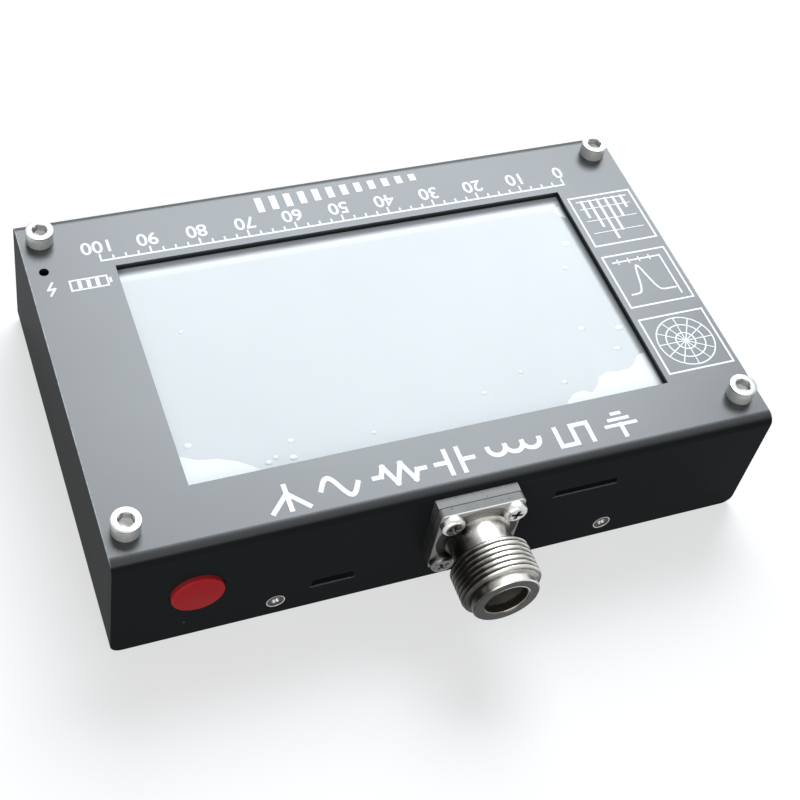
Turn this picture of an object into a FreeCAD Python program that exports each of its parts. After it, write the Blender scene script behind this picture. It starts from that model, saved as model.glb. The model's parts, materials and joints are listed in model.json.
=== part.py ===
"""Handheld antenna analyzer: folded sheet case, touch screen, antenna jack, push button.

The origin is the middle of the case's back. +X is to the right and +Z out of the screen when the
screen is read, and +Y points at the long wall with the antenna jack.
"""
import FreeCAD, Part
import math
import os
import Sketcher

Vector = FreeCAD.Vector

# Driving sizes in millimetres. Each is a cell of the sheet, and every piece is bound to the cells.
SIZES = {
    # case
    "case_width": 134.0,
    "case_depth": 84.0,
    "case_height": 29.5,
    "cover_sheet": 1.5,
    "base_sheet": 1.5,
    "bend_inside": 0.8,
    "cover_gap": 0.1,
    "window_width": 99.2,
    "window_depth": 54.9,
    "window_shift": 1.05,
    # corner fasteners
    "corner_inset_side": 4.3,
    "corner_inset_far": 5.6,
    "corner_inset_near": 7.3,
    "corner_thread": 3.0,
    "corner_hole": 3.4,
    "corner_head": 5.5,
    "corner_head_height": 3.0,
    "corner_key": 2.5,
    "corner_key_depth": 1.6,
    "corner_screw_length": 6.0,
    "thread_gap": 0.05,
    "standoff_flats": 5.0,
    "standoff_length": 9.4,
    "board_screw_head": 5.0,
    "board_screw_head_height": 1.8,
    "board_screw_length": 5.0,
    # low side screws and the tabs that take them
    "tab_place": 35.0,
    "tab_width": 10.0,
    "tab_rise": 8.3,
    "tab_relief": 1.0,
    "side_screw_height": 4.3,
    "side_screw_thread": 2.0,
    "side_screw_hole": 2.3,
    "side_screw_head": 3.8,
    "side_screw_length": 4.0,
    "overcut": 1.0,
    # screen stack, from the face inwards
    "gasket_thick": 0.5,
    "film_thick": 0.15,
    "film_lap": 1.0,
    "film_gap": 0.3,
    "screen_border_side": 3.15,
    "screen_border_end": 6.15,
    "touch_thick": 1.2,
    "glass_thick": 1.3,
    "backlight_thick": 1.0,
    "tray_sheet": 0.5,
    "tray_gap": 0.1,
    "tray_lip": 1.6,
    "pad_size": 6.0,
    "pad_place_side": 45.5,
    "pad_place_end": 18.0,
    # main board
    "board_thick": 1.6,
    "board_wall_gap": 1.7,
    "board_side_gap": 1.0,
    "shield_width": 34.0,
    "shield_depth": 22.0,
    "shield_height": 3.4,
    "shield_sheet": 0.3,
    "shield_setback": 10.5,
    "processor_size": 14.0,
    "processor_thick": 1.4,
    "processor_place": 36.0,
    "memory_size": 5.2,
    "memory_thick": 1.75,
    "crystal_length": 11.0,
    "crystal_width": 4.6,
    "crystal_height": 3.2,
    "crystal_gap": 2.5,
    "chip_gap": 4.4,
    "processor_shift": 4.0,
    "radio_chip": 5.0,
    "radio_chip_middle": 4.0,
    "radio_chip_thick": 1.4,
    "radio_chip_step": 9.5,
    "shield_shift": 3.0,
    "small_part_length": 1.6,
    "small_part_width": 0.8,
    "small_part_height": 0.6,
    "small_part_step": 3.2,
    "small_part_row": 2.6,
    "small_part_place": 9.0,
    "ribbon_thick": 0.2,
    "ribbon_rise": 1.0,
    "ribbon_out": 1.0,
    "ribbon_loop": 4.4,
    "screen_ribbon_width": 20.5,
    "touch_ribbon_width": 4.5,
    "touch_ribbon_place": 28.0,
    "socket_margin": 1.5,
    "ribbon_socket_depth": 4.5,
    "ribbon_socket_height": 2.0,
    "ribbon_socket_setback": 11.0,
    # antenna jack
    "jack_place": 2.3,
    "spacer_side": 16.8,
    "spacer_thick": 2.0,
    "flange_side": 17.2,
    "flange_thick": 2.1,
    "flange_corner": 0.8,
    "jack_pitch": 12.7,
    "jack_screw_thread": 2.5,
    "jack_screw_head": 4.7,
    "jack_screw_head_height": 1.7,
    "jack_screw_stem": 6.2,
    "jack_screw_gap": 0.2,
    "jack_screw_crown": 0.5,
    "spigot_diameter": 10.4,
    "spigot_gap": 0.2,
    "spigot_proud": 1.4,
    "collar_diameter": 13.2,
    "collar_length": 0.6,
    "shank_diameter": 12.0,
    "shank_length": 5.1,
    "thread_diameter": 15.88,
    "thread_pitch": 1.058,
    "thread_cut": 0.62,
    "thread_root": 0.12,
    "thread_length": 7.4,
    "ring_diameter": 13.3,
    "ring_length": 1.9,
    "mouth_bore": 8.6,
    "mouth_length": 4.0,
    "mouth_rim": 0.3,
    "throat_bore": 8.1,
    "mouth_depth": 9.1,
    "inner_bore": 7.0,
    "socket_setback": 4.8,
    "bead_setback": 1.5,
    "socket_diameter": 3.04,
    "socket_bore": 1.7,
    "socket_slot": 0.35,
    "socket_slot_depth": 3.6,
    "contact_neck": 2.0,
    "contact_fit": 0.03,
    "contact_tail": 1.27,
    "contact_tail_length": 6.0,
    "solder_gap": 0.05,
    # push button
    "button_inset": 11.7,
    "button_drop": 3.5,
    "button_diameter": 10.2,
    "button_gap": 0.2,
    "button_proud": 0.9,
    "button_edge": 0.7,
    "button_travel": 1.5,
    "button_lip": 0.7,
    "button_lip_thick": 0.8,
    "button_skirt": 4.3,
    "switch_side": 8.0,
    "switch_length": 9.0,
    "switch_clearance": 0.2,
    "switch_wall": 1.2,
    "stem_side": 3.0,
    "stem_gap": 0.05,
    "stem_head": 2.4,
    "cap_front": 2.1,
    "spring_gap": 0.05,
    "spring_diameter": 3.6,
    "spring_wire": 0.4,
    "notch_gap": 0.3,
    "pin_reach": 2.0,
    "pin_width": 0.8,
    "pin_thick": 0.3,
    # memory card socket
    "card_place": 27.4,
    "card_slot_width": 13.5,
    "card_slot_height": 1.9,
    "card_socket_width": 14.0,
    "card_socket_depth": 15.0,
    "card_socket_height": 1.9,
    "card_shell_sheet": 0.2,
    "card_floor": 0.5,
    "card_back": 1.8,
    "card_contact_pitch": 1.1,
    "card_contact_width": 0.5,
    "card_contact_length": 5.0,
    "card_contact_thick": 0.2,
    "card_contact_start": 3.0,
    "socket_wall_gap": 0.2,
    # charger board and its socket
    "usb_inset": 11.15,
    "usb_slot_width": 8.4,
    "usb_slot_height": 2.3,
    "usb_width": 7.6,
    "usb_height": 2.6,
    "usb_depth": 5.6,
    "usb_sheet": 0.3,
    "tongue_back": 1.3,
    "tongue_side": 1.2,
    "tongue_thick": 0.6,
    "tongue_setback": 1.0,
    "charger_width": 17.0,
    "charger_depth": 26.0,
    "charger_thick": 1.6,
    "charger_tab_gap": 0.9,
    "charger_post": 3.3,
    "charger_post_diameter": 4.0,
    "charger_post_inset": 2.0,
    "charger_screw_thread": 2.0,
    "charger_screw_head": 3.6,
    "charger_screw_head_height": 1.3,
    "charger_screw_length": 4.0,
    "charger_screw_gap": 0.15,
    "charger_post_floor": 0.5,
    "charger_part_place": 12.0,
    "charger_chip_length": 4.9,
    "charger_chip_width": 3.9,
    "charger_chip_thick": 1.5,
    "charger_chip_shift": 3.0,
    "charger_coil_side": 5.0,
    "charger_coil_height": 2.6,
    "charger_coil_shift": 4.2,
    # charge light
    "light_inset": 3.3,
    "light_from_corner": 8.7,
    "light_hole": 2.0,
    "light_diameter": 3.0,
    "light_height": 5.0,
    "light_leg": 0.5,
    "light_leg_pitch": 1.92,
    "light_gap": 0.3,
    # battery
    "battery_length": 58.0,
    "battery_width": 44.0,
    "battery_thick": 8.0,
    "battery_round": 2.0,
    "battery_wall_gap": 1.0,
    "battery_shift": 4.0,
    "battery_tape": 0.8,
    "battery_edge": 4.0,
    "guard_length": 3.6,
    "guard_thick": 3.0,
    "plug_length": 5.0,
    "plug_width": 5.8,
    "plug_height": 3.2,
    "battery_socket_height": 4.4,
    "battery_socket_length": 5.0,
    "battery_socket_side": 0.7,
    "battery_socket_place": 7.5,
    "lead_diameter": 1.1,
    "lead_pitch": 1.7,
    "lead_inset": 1.5,
    "lead_up_inset": 3.2,
    "lead_up_swing": 1.6,
}


def text_of(value):
    return value.text if isinstance(value, Length) else repr(float(value))


class Length:
    """A length written as an expression of the sheet's cells."""

    def __init__(self, text):
        self.text = text

    def __add__(self, other):
        return Length(f"({self.text} + {text_of(other)})")

    def __radd__(self, other):
        return Length(f"({text_of(other)} + {self.text})")

    def __sub__(self, other):
        return Length(f"({self.text} - {text_of(other)})")

    def __rsub__(self, other):
        return Length(f"({text_of(other)} - {self.text})")

    def __mul__(self, factor):
        return Length(f"({self.text} * {text_of(factor)})")

    def __rmul__(self, factor):
        return self * factor

    def __truediv__(self, divisor):
        return Length(f"({self.text} / {text_of(divisor)})")

    def __neg__(self):
        return Length(f"(0 - {self.text})")


class SheetSizes:
    """Gives each cell of the sheet as a Length, by its alias."""

    def __getattr__(self, alias):
        if alias not in SIZES:
            raise AttributeError(alias)
        return Length(f"Sizes.{alias}")


s = SheetSizes()
doc = FreeCAD.newDocument("AntennaAnalyzer")
sheet = doc.addObject("Spreadsheet::Sheet", "Sizes")
for row, (alias, size) in enumerate(SIZES.items(), start=1):
    sheet.set(f"A{row}", alias)
    sheet.set(f"B{row}", str(size))
    sheet.setAlias(f"B{row}", alias)
doc.recompute()

NODES = []


def value(length):
    """The number that a Length stands for now."""
    return float(sheet.evalExpression(length.text)) if isinstance(length, Length) else float(length)


def bind(thing, prop, length):
    """Ties a property to the sheet, or sets it where it is a plain number."""
    if isinstance(length, Length):
        thing.setExpression(prop, length.text)
    elif "." in prop:
        thing.setExpression(prop, repr(float(length)))
    elif "[" not in prop:
        setattr(thing, prop, length)


def node(thing, name):
    """Names an object as a finished piece."""
    thing.Label = name
    NODES.append((name, thing))
    return thing


def put(thing, x=0.0, y=0.0, z=0.0):
    for axis, length in (("x", x), ("y", y), ("z", z)):
        bind(thing, f"Placement.Base.{axis}", length)
    return thing


def box(x, y, z):
    """A block between pairs of places along X, Y and Z."""
    block = doc.addObject("Part::Box", "Block")
    for prop, (low, high) in (("Length", x), ("Width", y), ("Height", z)):
        bind(block, prop, high - low)
    return put(block, x[0], y[0], z[0])


def centred(place, size):
    """The two ends of a size that has its middle at a place."""
    return place - size / 2, place + size / 2


TURNS = {
    "z": FreeCAD.Rotation(),
    "y": FreeCAD.Rotation(Vector(1, 0, 0), -90),
    "x": FreeCAD.Rotation(Vector(0, 1, 0), 90),
}


def rod(diameter, axis, start, end, place, tip=None):
    """A cylinder, or a cone where tip gives another diameter at its end.

    It runs along an axis from start to end, and place gives its other two coordinates in order.
    """
    kind = "Part::Cylinder" if tip is None else "Part::Cone"
    round_bar = doc.addObject(kind, "Rod")
    if tip is None:
        bind(round_bar, "Radius", diameter / 2)
    else:
        bind(round_bar, "Radius1", diameter / 2)
        bind(round_bar, "Radius2", tip / 2)
    bind(round_bar, "Height", end - start)
    round_bar.Placement = FreeCAD.Placement(Vector(), TURNS[axis])
    first, second = place
    where = {"x": (start, first, second), "y": (first, start, second), "z": (first, second, start)}
    return put(round_bar, *where[axis])


def prism(flats, sides, axis, start, end, place):
    """A regular prism, such as a hexagon, by its size across flats, with a flat on each side in X."""
    bar = doc.addObject("Part::Prism", "Prism")
    bar.Polygon = sides
    bind(bar, "Circumradius", flats / 2 / math.cos(math.pi / sides))
    bind(bar, "Height", end - start)
    bar.Placement = FreeCAD.Placement(Vector(), TURNS[axis] * FreeCAD.Rotation(Vector(0, 0, 1), 180 / sides))
    first, second = place
    where = {"x": (start, first, second), "y": (first, start, second), "z": (first, second, start)}
    return put(bar, *where[axis])


def join(*things):
    """One solid from pieces that touch or overlap."""
    union = doc.addObject("Part::MultiFuse", "Join")
    union.Shapes = list(things)
    union.Refine = True
    return union


def group(*things):
    """Several separate solids that share a node."""
    together = doc.addObject("Part::Compound", "Group")
    together.Links = list(things)
    return together


def cut(base, *tools):
    hollow = doc.addObject("Part::Cut", "Cut")
    hollow.Base = base
    hollow.Tool = tools[0] if len(tools) == 1 else join(*tools)
    return hollow


def new_body(name):
    body = doc.addObject("PartDesign::Body", name)
    return node(body, name)


def sketch_on(body, plane, offset=None):
    """A sketch on one of the body's own origin planes, shifted along its normal."""
    sketch = body.newObject("Sketcher::SketchObject", f"{body.Label}_sketch")
    home = [feature for feature in body.Origin.OriginFeatures if feature.Role == plane][0]
    sketch.AttachmentSupport = (home, [""])
    sketch.MapMode = "FlatFace"
    if offset is not None:
        bind(sketch, "AttachmentOffset.Base.z", offset)
    return sketch


def pin_point(sketch, element, end, across, up):
    """Holds one point of a sketch at two lengths from the origin."""
    for kind, length in (("DistanceX", across), ("DistanceY", up)):
        index = sketch.addConstraint(Sketcher.Constraint(kind, -1, 1, element, end, value(length)))
        bind(sketch, f"Constraints[{index}]", length)


def add_outline(sketch, points):
    """A closed outline of straight lines, with every corner held."""
    first = sketch.GeometryCount
    places = [Vector(value(across), value(up), 0) for across, up in points]
    count = len(points)
    for i, place in enumerate(places):
        sketch.addGeometry(Part.LineSegment(place, places[(i + 1) % count]), False)
    for i, (across, up) in enumerate(points):
        after = first + (i + 1) % count
        sketch.addConstraint(Sketcher.Constraint("Coincident", first + i, 2, after, 1))
        pin_point(sketch, first + i, 1, across, up)


def add_rectangle(sketch, across, up):
    add_outline(sketch, [(across[0], up[0]), (across[1], up[0]), (across[1], up[1]), (across[0], up[1])])


def add_circle(sketch, diameter, across, up):
    centre = Vector(value(across), value(up), 0)
    element = sketch.GeometryCount
    sketch.addGeometry(Part.Circle(centre, Vector(0, 0, 1), value(diameter) / 2), False)
    pin_point(sketch, element, 3, across, up)
    index = sketch.addConstraint(Sketcher.Constraint("Diameter", element, value(diameter)))
    bind(sketch, f"Constraints[{index}]", diameter)


def feature(body, kind, sketch, **settings):
    made = body.newObject(f"PartDesign::{kind}", f"{body.Label}_{kind}")
    made.Profile = sketch
    for prop, setting in settings.items():
        bind(made, prop, setting)
    doc.recompute()
    return made


def pad(body, sketch, length, **settings):
    return feature(body, "Pad", sketch, Length=length, **settings)


def pocket_through(body, sketch, **settings):
    """A cut through all, and a check that it took something away."""
    before = body.Shape.Volume
    made = feature(body, "Pocket", sketch, Type="ThroughAll", **settings)
    if body.Shape.Volume >= before - 1e-6:
        raise ValueError(f"{made.Name} cuts nothing")
    return made


def edges_near(body, test):
    """Names of the edges of a body's last feature whose middle passes a test."""
    tip = body.Tip
    names = []
    for index, edge in enumerate(tip.Shape.Edges, start=1):
        middle = edge.valueAt((edge.FirstParameter + edge.LastParameter) / 2)
        run = edge.BoundBox
        if test(middle, run):
            names.append(f"Edge{index}")
    return tip, names


def dress(body, kind, prop, size, test):
    """A fillet or chamfer on the edges that pass a test."""
    base, names = edges_near(body, test)
    if not names:
        raise ValueError(f"no edge for the {kind.lower()} on {body.Label}")
    made = body.newObject(f"PartDesign::{kind}", f"{body.Label}_{kind}")
    made.Base = (base, names)
    bind(made, prop, size)
    doc.recompute()
    return made


def fillet(body, radius, test):
    return dress(body, "Fillet", "Radius", radius, test)


def chamfer(body, size, test):
    return dress(body, "Chamfer", "Size", size, test)


def close(a, b):
    return abs(a - b) < 1e-3


# Places that several pieces share.
side_x = s.case_width / 2
near_y = s.case_depth / 2
far_y = -s.case_depth / 2
face_top = s.case_height
face_under = face_top - s.cover_sheet
near_inside = near_y - s.cover_sheet
far_inside = far_y + s.cover_sheet
base_near = near_inside - s.cover_gap
base_far = far_inside + s.cover_gap
base_bend = s.bend_inside + s.base_sheet
cover_bend = s.bend_inside + s.cover_sheet
floor_top = s.base_sheet
corner_x = side_x - s.corner_inset_side
corner_ys = (far_y + s.corner_inset_far, near_y - s.corner_inset_near)
corners = [(side, y) for y in corner_ys for side in (-corner_x, corner_x)]
board_top = face_under - s.standoff_length
board_under = board_top - s.board_thick
board_near = near_inside - s.board_wall_gap
board_far = far_inside + s.board_wall_gap
board_side = side_x - s.base_sheet - s.board_side_gap
jack_x = -s.jack_place
jack_z = board_top + s.contact_tail / 2 + s.solder_gap
button_x = corner_x - s.button_inset
button_z = board_top - s.button_drop
card_x = -s.card_place
card_z = board_top + s.card_floor + (s.card_socket_height - s.card_floor) / 2
usb_x = s.tab_place - s.usb_inset
charger_top = floor_top + s.charger_post + s.charger_thick
charger_under = floor_top + s.charger_post
charger_near = base_near - s.base_sheet - s.charger_tab_gap
usb_z = charger_top + s.usb_height / 2
window_x = (-s.window_width / 2, s.window_width / 2)
window_y = centred(s.window_shift, s.window_depth)


def front_cover():
    """Face and both long walls in one folded sheet."""
    body = new_body("front_cover")
    profile = sketch_on(body, "YZ_Plane")
    add_outline(profile, [
        (far_y, 0.0), (far_inside, 0.0), (far_inside, face_under), (near_inside, face_under),
        (near_inside, 0.0), (near_y, 0.0), (near_y, face_top), (far_y, face_top)])
    pad(body, profile, s.case_width, SideType="Symmetric")
    top, under = value(face_top), value(face_under)
    outer, inner = value(near_y), value(near_inside)
    half = value(side_x)
    fillet(body, s.bend_inside, lambda m, run: close(abs(m.y), inner) and close(m.z, under))
    fillet(body, cover_bend, lambda m, run: close(abs(m.y), outer) and close(m.z, top))
    fillet(body, base_bend, lambda m, run: close(abs(m.x), half) and close(m.z, 0) and run.YLength > 0.1)
    window = sketch_on(body, "XY_Plane", face_top)
    add_rectangle(window, window_x, window_y)
    feature(body, "Pocket", window, Length=s.cover_sheet + s.overcut)
    holes = sketch_on(body, "XY_Plane", face_top)
    for x, y in corners:
        add_circle(holes, s.corner_hole, x, y)
    add_circle(holes, s.light_hole, side_x - s.light_inset, corner_ys[0] + s.light_from_corner)
    feature(body, "Pocket", holes, Length=s.cover_sheet + s.overcut)
    wall = sketch_on(body, "XZ_Plane")
    add_circle(wall, s.spigot_diameter + 2 * s.spigot_gap, jack_x, jack_z)
    for across in (-1, 1):
        for up in (-1, 1):
            add_circle(wall, s.jack_screw_thread + 2 * s.thread_gap,
                       jack_x + across * s.jack_pitch / 2, jack_z + up * s.jack_pitch / 2)
    add_circle(wall, s.button_diameter + 2 * s.button_gap, button_x, button_z)
    add_rectangle(wall, centred(usb_x, s.usb_slot_width), centred(usb_z, s.usb_slot_height))
    add_rectangle(wall, centred(card_x, s.card_slot_width), centred(card_z, s.card_slot_height))
    pocket_through(body, wall)
    side = sketch_on(body, "XZ_Plane")
    for place in (-s.tab_place, s.tab_place):
        add_circle(side, s.side_screw_hole, place, s.side_screw_height)
    pocket_through(body, side, SideType="Symmetric")
    usb, tall = value(usb_x), value(s.usb_slot_height) / 2
    wide = value(s.usb_slot_width) / 2
    fillet(body, s.usb_slot_height / 3, lambda m, run: m.y > 0 and close(abs(m.x - usb), wide)
           and close(abs(m.z - value(usb_z)), tall) and run.YLength > 0.1)
    screw_z = value(s.side_screw_height)
    chamfer(body, (s.side_screw_head - s.side_screw_hole) / 2,
            lambda m, run: close(abs(m.y), outer) and close(run.ZLength, value(s.side_screw_hole))
            and abs(m.z - screw_z) < value(s.side_screw_hole))


def base_pan():
    """Back and both end walls in one folded sheet, with four upturned tabs."""
    body = new_body("base_pan")
    wall_top = face_under - s.cover_gap
    half, inside = side_x, side_x - s.base_sheet
    profile = sketch_on(body, "XZ_Plane")
    add_outline(profile, [
        (-half, 0.0), (half, 0.0), (half, wall_top), (inside, wall_top),
        (inside, floor_top), (-inside, floor_top), (-inside, wall_top), (-half, wall_top)])
    pad(body, profile, base_near - base_far, SideType="Symmetric")
    end, step = value(half), value(inside)
    rise, low = value(wall_top), value(floor_top)
    fillet(body, base_bend, lambda m, run: close(abs(m.x), end) and close(m.z, 0))
    fillet(body, s.bend_inside, lambda m, run: close(abs(m.x), step) and close(m.z, low))
    fillet(body, s.bend_inside + 3 * s.cover_gap, lambda m, run: close(m.z, rise)
           and close(abs(m.y), value(base_near)) and close(run.XLength, value(s.base_sheet)))
    relief = sketch_on(body, "XY_Plane")
    tabs = sketch_on(body, "XY_Plane")
    depth = base_bend + s.tab_relief
    for across in (-s.tab_place, s.tab_place):
        for y, back, inner in ((base_near, base_near - depth, base_near - s.base_sheet),
                               (base_far, base_far + depth, base_far + s.base_sheet)):
            for edge, out in ((across - s.tab_width / 2, -1), (across + s.tab_width / 2, 1)):
                ends = (edge - s.tab_relief, edge) if out < 0 else (edge, edge + s.tab_relief)
                add_rectangle(relief, ends, (min(y, back, key=value), max(y, back, key=value)))
            thick = (min(y, inner, key=value), max(y, inner, key=value))
            add_rectangle(tabs, centred(across, s.tab_width), thick)
    pad(body, tabs, s.tab_rise)
    pocket_through(body, relief, SideType="Symmetric")
    screws = sketch_on(body, "XZ_Plane")
    for across in (-s.tab_place, s.tab_place):
        add_circle(screws, s.side_screw_thread + 2 * s.thread_gap, across, s.side_screw_height)
    pocket_through(body, screws, SideType="Symmetric")
    wide = value(s.tab_width)
    fillet(body, base_bend, lambda m, run: close(abs(m.y), value(base_near)) and close(m.z, 0)
           and close(run.XLength, wide))
    fillet(body, s.bend_inside, lambda m, run: close(abs(m.y), value(base_near) - value(s.base_sheet))
           and close(m.z, low) and close(run.XLength, wide))


def corner_screws():
    """Four socket-head screws, head on the face and thread in the standoff."""
    screws = []
    for x, y in corners:
        head = rod(s.corner_head, "z", face_top, face_top + s.corner_head_height, (x, y))
        stem = rod(s.corner_thread, "z", face_top - s.corner_screw_length, face_top, (x, y))
        key = prism(s.corner_key, 6, "z", face_top + s.corner_head_height - s.corner_key_depth,
                    face_top + s.corner_head_height + s.overcut, (x, y))
        screws.append(cut(join(head, stem), key))
    node(group(*screws), "corner_screws")


def standoffs():
    """Four hexagon posts that hang the main board under the face."""
    posts = []
    for x, y in corners:
        post = prism(s.standoff_flats, 6, "z", board_top, face_under, (x, y))
        bore = rod(s.corner_thread + 2 * s.thread_gap, "z", board_top - s.overcut,
                   face_under + s.overcut, (x, y))
        posts.append(cut(post, bore))
    node(group(*posts), "standoffs")


def board_screws():
    """Four pan-head screws that hold the board up against the standoffs."""
    screws = []
    for x, y in corners:
        head = rod(s.board_screw_head, "z", board_under - s.board_screw_head_height, board_under, (x, y))
        stem = rod(s.corner_thread, "z", board_under, board_under + s.board_screw_length, (x, y))
        screws.append(join(head, stem))
    node(group(*screws), "board_screws")


def cross_slots(axis, top, depth, length, wide, place, out):
    """Two crossed slots of a screw head, sunk from its top."""
    first, second = place
    ends = (top - depth, top + s.overcut) if out > 0 else (top - s.overcut, top + depth)
    bars = []
    for a, b in ((length, wide), (wide, length)):
        pairs = {"y": (centred(first, a), ends, centred(second, b)),
                 "z": (centred(first, a), centred(second, b), ends)}
        bars.append(box(*pairs[axis]))
    return bars


def base_screws():
    """Four countersunk cross-recess screws through the long walls into the tabs."""
    screws = []
    sink = (s.side_screw_head - s.side_screw_thread) / 2
    for across in (-s.tab_place, s.tab_place):
        place = (across, s.side_screw_height)
        for out, face in ((1, near_y), (-1, far_y)):
            if out > 0:
                head = rod(s.side_screw_thread, "y", face - sink, face, place, tip=s.side_screw_head)
                stem = rod(s.side_screw_thread, "y", face - s.side_screw_length, face - sink, place)
            else:
                head = rod(s.side_screw_head, "y", face, face + sink, place, tip=s.side_screw_thread)
                stem = rod(s.side_screw_thread, "y", face + sink, face + s.side_screw_length, place)
            slots = cross_slots("y", face, sink * 0.6, s.side_screw_head * 0.6,
                                s.side_screw_head * 0.14, place, out)
            screws.append(cut(join(head, stem), *slots))
    node(group(*screws), "base_screws")


# Heights of the screen stack, from the face down.
touch_top = face_under - s.gasket_thick
glass_top = touch_top - s.touch_thick
tray_under = glass_top - s.glass_thick - s.backlight_thick - s.tray_sheet
screen_x = (window_x[0] - s.screen_border_side, window_x[1] + s.screen_border_side)
screen_y = (window_y[0] - s.screen_border_end, window_y[1] + s.screen_border_end)


def inset(pair, by):
    return pair[0] + by, pair[1] - by


def screen():
    """Gasket, film, touch panel, glass, backlight and tray, from the face inwards."""
    film_x = inset(window_x, -s.film_lap)
    film_y = inset(window_y, -s.film_lap)
    ring = box(screen_x, screen_y, (touch_top, face_under))
    hole = box(inset(film_x, -s.film_gap), inset(film_y, -s.film_gap),
               (touch_top - s.overcut, face_under + s.overcut))
    node(cut(ring, hole), "screen_gasket")
    node(box(film_x, film_y, (touch_top, touch_top + s.film_thick)), "screen_film")
    node(box(screen_x, screen_y, (glass_top, touch_top)), "touch_panel")
    inner_x = inset(screen_x, s.tray_sheet)
    inner_y = inset(screen_y, s.tray_sheet)
    fit_x, fit_y = inset(inner_x, s.tray_gap), inset(inner_y, s.tray_gap)
    light_top = glass_top - s.glass_thick
    tray = box(screen_x, screen_y, (tray_under, glass_top))
    room = box(inner_x, inner_y, (tray_under + s.tray_sheet, glass_top - s.tray_sheet))
    view = box(inset(screen_x, s.tray_lip + s.tray_sheet), inset(screen_y, s.tray_lip + s.tray_sheet),
               (glass_top - s.overcut, glass_top + s.overcut))
    node(cut(tray, room, view), "screen_tray")
    node(box(fit_x, fit_y, (light_top, glass_top - s.tray_sheet)), "screen_glass")
    node(box(fit_x, fit_y, (tray_under + s.tray_sheet, light_top)), "screen_backlight")
    pads = []
    for across in (-1, 1):
        for along in (-1, 1):
            pads.append(box(centred(across * s.pad_place_side, s.pad_size),
                            centred(s.window_shift + along * s.pad_place_end, s.pad_size),
                            (board_top, tray_under)))
    node(group(*pads), "screen_pads")


def ribbon(name, width, place):
    """A flat cable that leaves the tray's far side and loops down into its socket on the board."""
    upper = tray_under + s.ribbon_rise
    lower = upper - s.ribbon_loop
    middle = (upper + lower) / 2
    turn_y = screen_y[0] - s.ribbon_out
    across = centred(place, width)
    radius = s.ribbon_loop / 2
    outside = rod(2 * radius + s.ribbon_thick, "x", across[0], across[1], (turn_y, middle))
    hollow = rod(2 * radius - s.ribbon_thick, "x", across[0] - s.overcut,
                 across[1] + s.overcut, (turn_y, middle))
    front = box(inset(across, -s.overcut), (turn_y, turn_y + 2 * s.ribbon_loop),
                (middle - s.ribbon_loop, middle + s.ribbon_loop))
    loop = cut(outside, hollow, front)
    top = box(across, (turn_y, screen_y[0]), centred(upper, s.ribbon_thick))
    end = ribbon_socket_y[0]
    bottom = box(across, (turn_y, end), centred(lower, s.ribbon_thick))
    node(join(loop, top, bottom), name)


ribbon_socket_back = board_far + s.ribbon_socket_setback
ribbon_socket_y = (ribbon_socket_back, ribbon_socket_back + s.ribbon_socket_depth)


def ribbons():
    ribbon("screen_ribbon", s.screen_ribbon_width, 0.0)
    ribbon("touch_ribbon", s.touch_ribbon_width, s.touch_ribbon_place)
    for name, width, place in (("ribbon_connector", s.screen_ribbon_width, 0.0),
                               ("touch_connector", s.touch_ribbon_width, s.touch_ribbon_place)):
        across = centred(place, width + 2 * s.socket_margin)
        node(box(across, ribbon_socket_y, (board_top, board_top + s.ribbon_socket_height)), name)


def main_board():
    """The circuit board, notched at its near edge for the switch."""
    body = new_body("main_board")
    outline = sketch_on(body, "XY_Plane", board_under)
    left, right = centred(button_x, s.switch_side + 2 * s.notch_gap)
    mouth_left, mouth_right = centred(button_x, s.button_diameter + 2 * s.button_lip + 2 * s.notch_gap)
    back = switch_back - s.notch_gap
    add_outline(outline, [
        (-board_side, board_far), (board_side, board_far), (board_side, board_near),
        (mouth_right, board_near), (mouth_right, switch_front), (right, switch_front),
        (right, back), (left, back), (left, switch_front),
        (mouth_left, switch_front), (mouth_left, board_near), (-board_side, board_near)])
    for x, y in corners:
        add_circle(outline, s.corner_hole, x, y)
    pad(body, outline, s.board_thick)


# Places of the button and switch along Y.
button_skirt_end = near_y - s.button_skirt
switch_front = button_skirt_end - s.button_travel - s.switch_clearance
switch_back = switch_front - s.switch_length
stem_out = near_y + s.button_proud - s.cap_front
room_front = switch_front - s.switch_wall
room_back = switch_back + s.switch_wall
head_front = room_front - s.stem_gap
head_back = head_front - s.stem_head


def push_button():
    """Red cap on the switch's stem, with a lip that keeps it in the case."""
    body = new_body("button_cap")
    radius = s.button_diameter / 2
    lip = radius + s.button_lip
    lip_front = near_inside - s.cover_gap
    profile = sketch_on(body, "YZ_Plane")
    edge_y = near_y + s.button_proud - s.button_edge
    cap_top, lip_back = near_y + s.button_proud, lip_front - s.button_lip_thick
    add_outline(profile, [
        (button_skirt_end, 0.0), (cap_top, 0.0), (cap_top, radius - 2 * s.button_edge),
        (cap_top - s.button_edge / 4, radius - s.button_edge), (edge_y, radius), (lip_front, radius),
        (lip_front, lip), (lip_back, lip), (lip_back, radius), (button_skirt_end, radius)])
    turned = body.newObject("PartDesign::Revolution", "button_cap_Revolution")
    turned.Profile = profile
    turned.ReferenceAxis = (profile, ["H_Axis"])
    doc.recompute()
    socket = sketch_on(body, "XZ_Plane", -(button_skirt_end - s.overcut))
    stem = s.stem_side / 2
    add_rectangle(socket, (-stem, stem), (-stem, stem))
    feature(body, "Pocket", socket, Length=stem_out - button_skirt_end + s.overcut)
    put(body, button_x, 0.0, button_z)
    z = (button_z - s.stem_side / 2, button_z + s.stem_side / 2)
    stem_block = box(centred(button_x, s.stem_side), (head_front, stem_out), z)
    head = box(centred(button_x, s.stem_side + 2 * s.switch_wall), (head_back, head_front),
               inset(z, -s.switch_wall))
    node(join(stem_block, head), "switch_plunger")


PIN_SHARES = (0.25, 0.5, 0.75)


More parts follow.
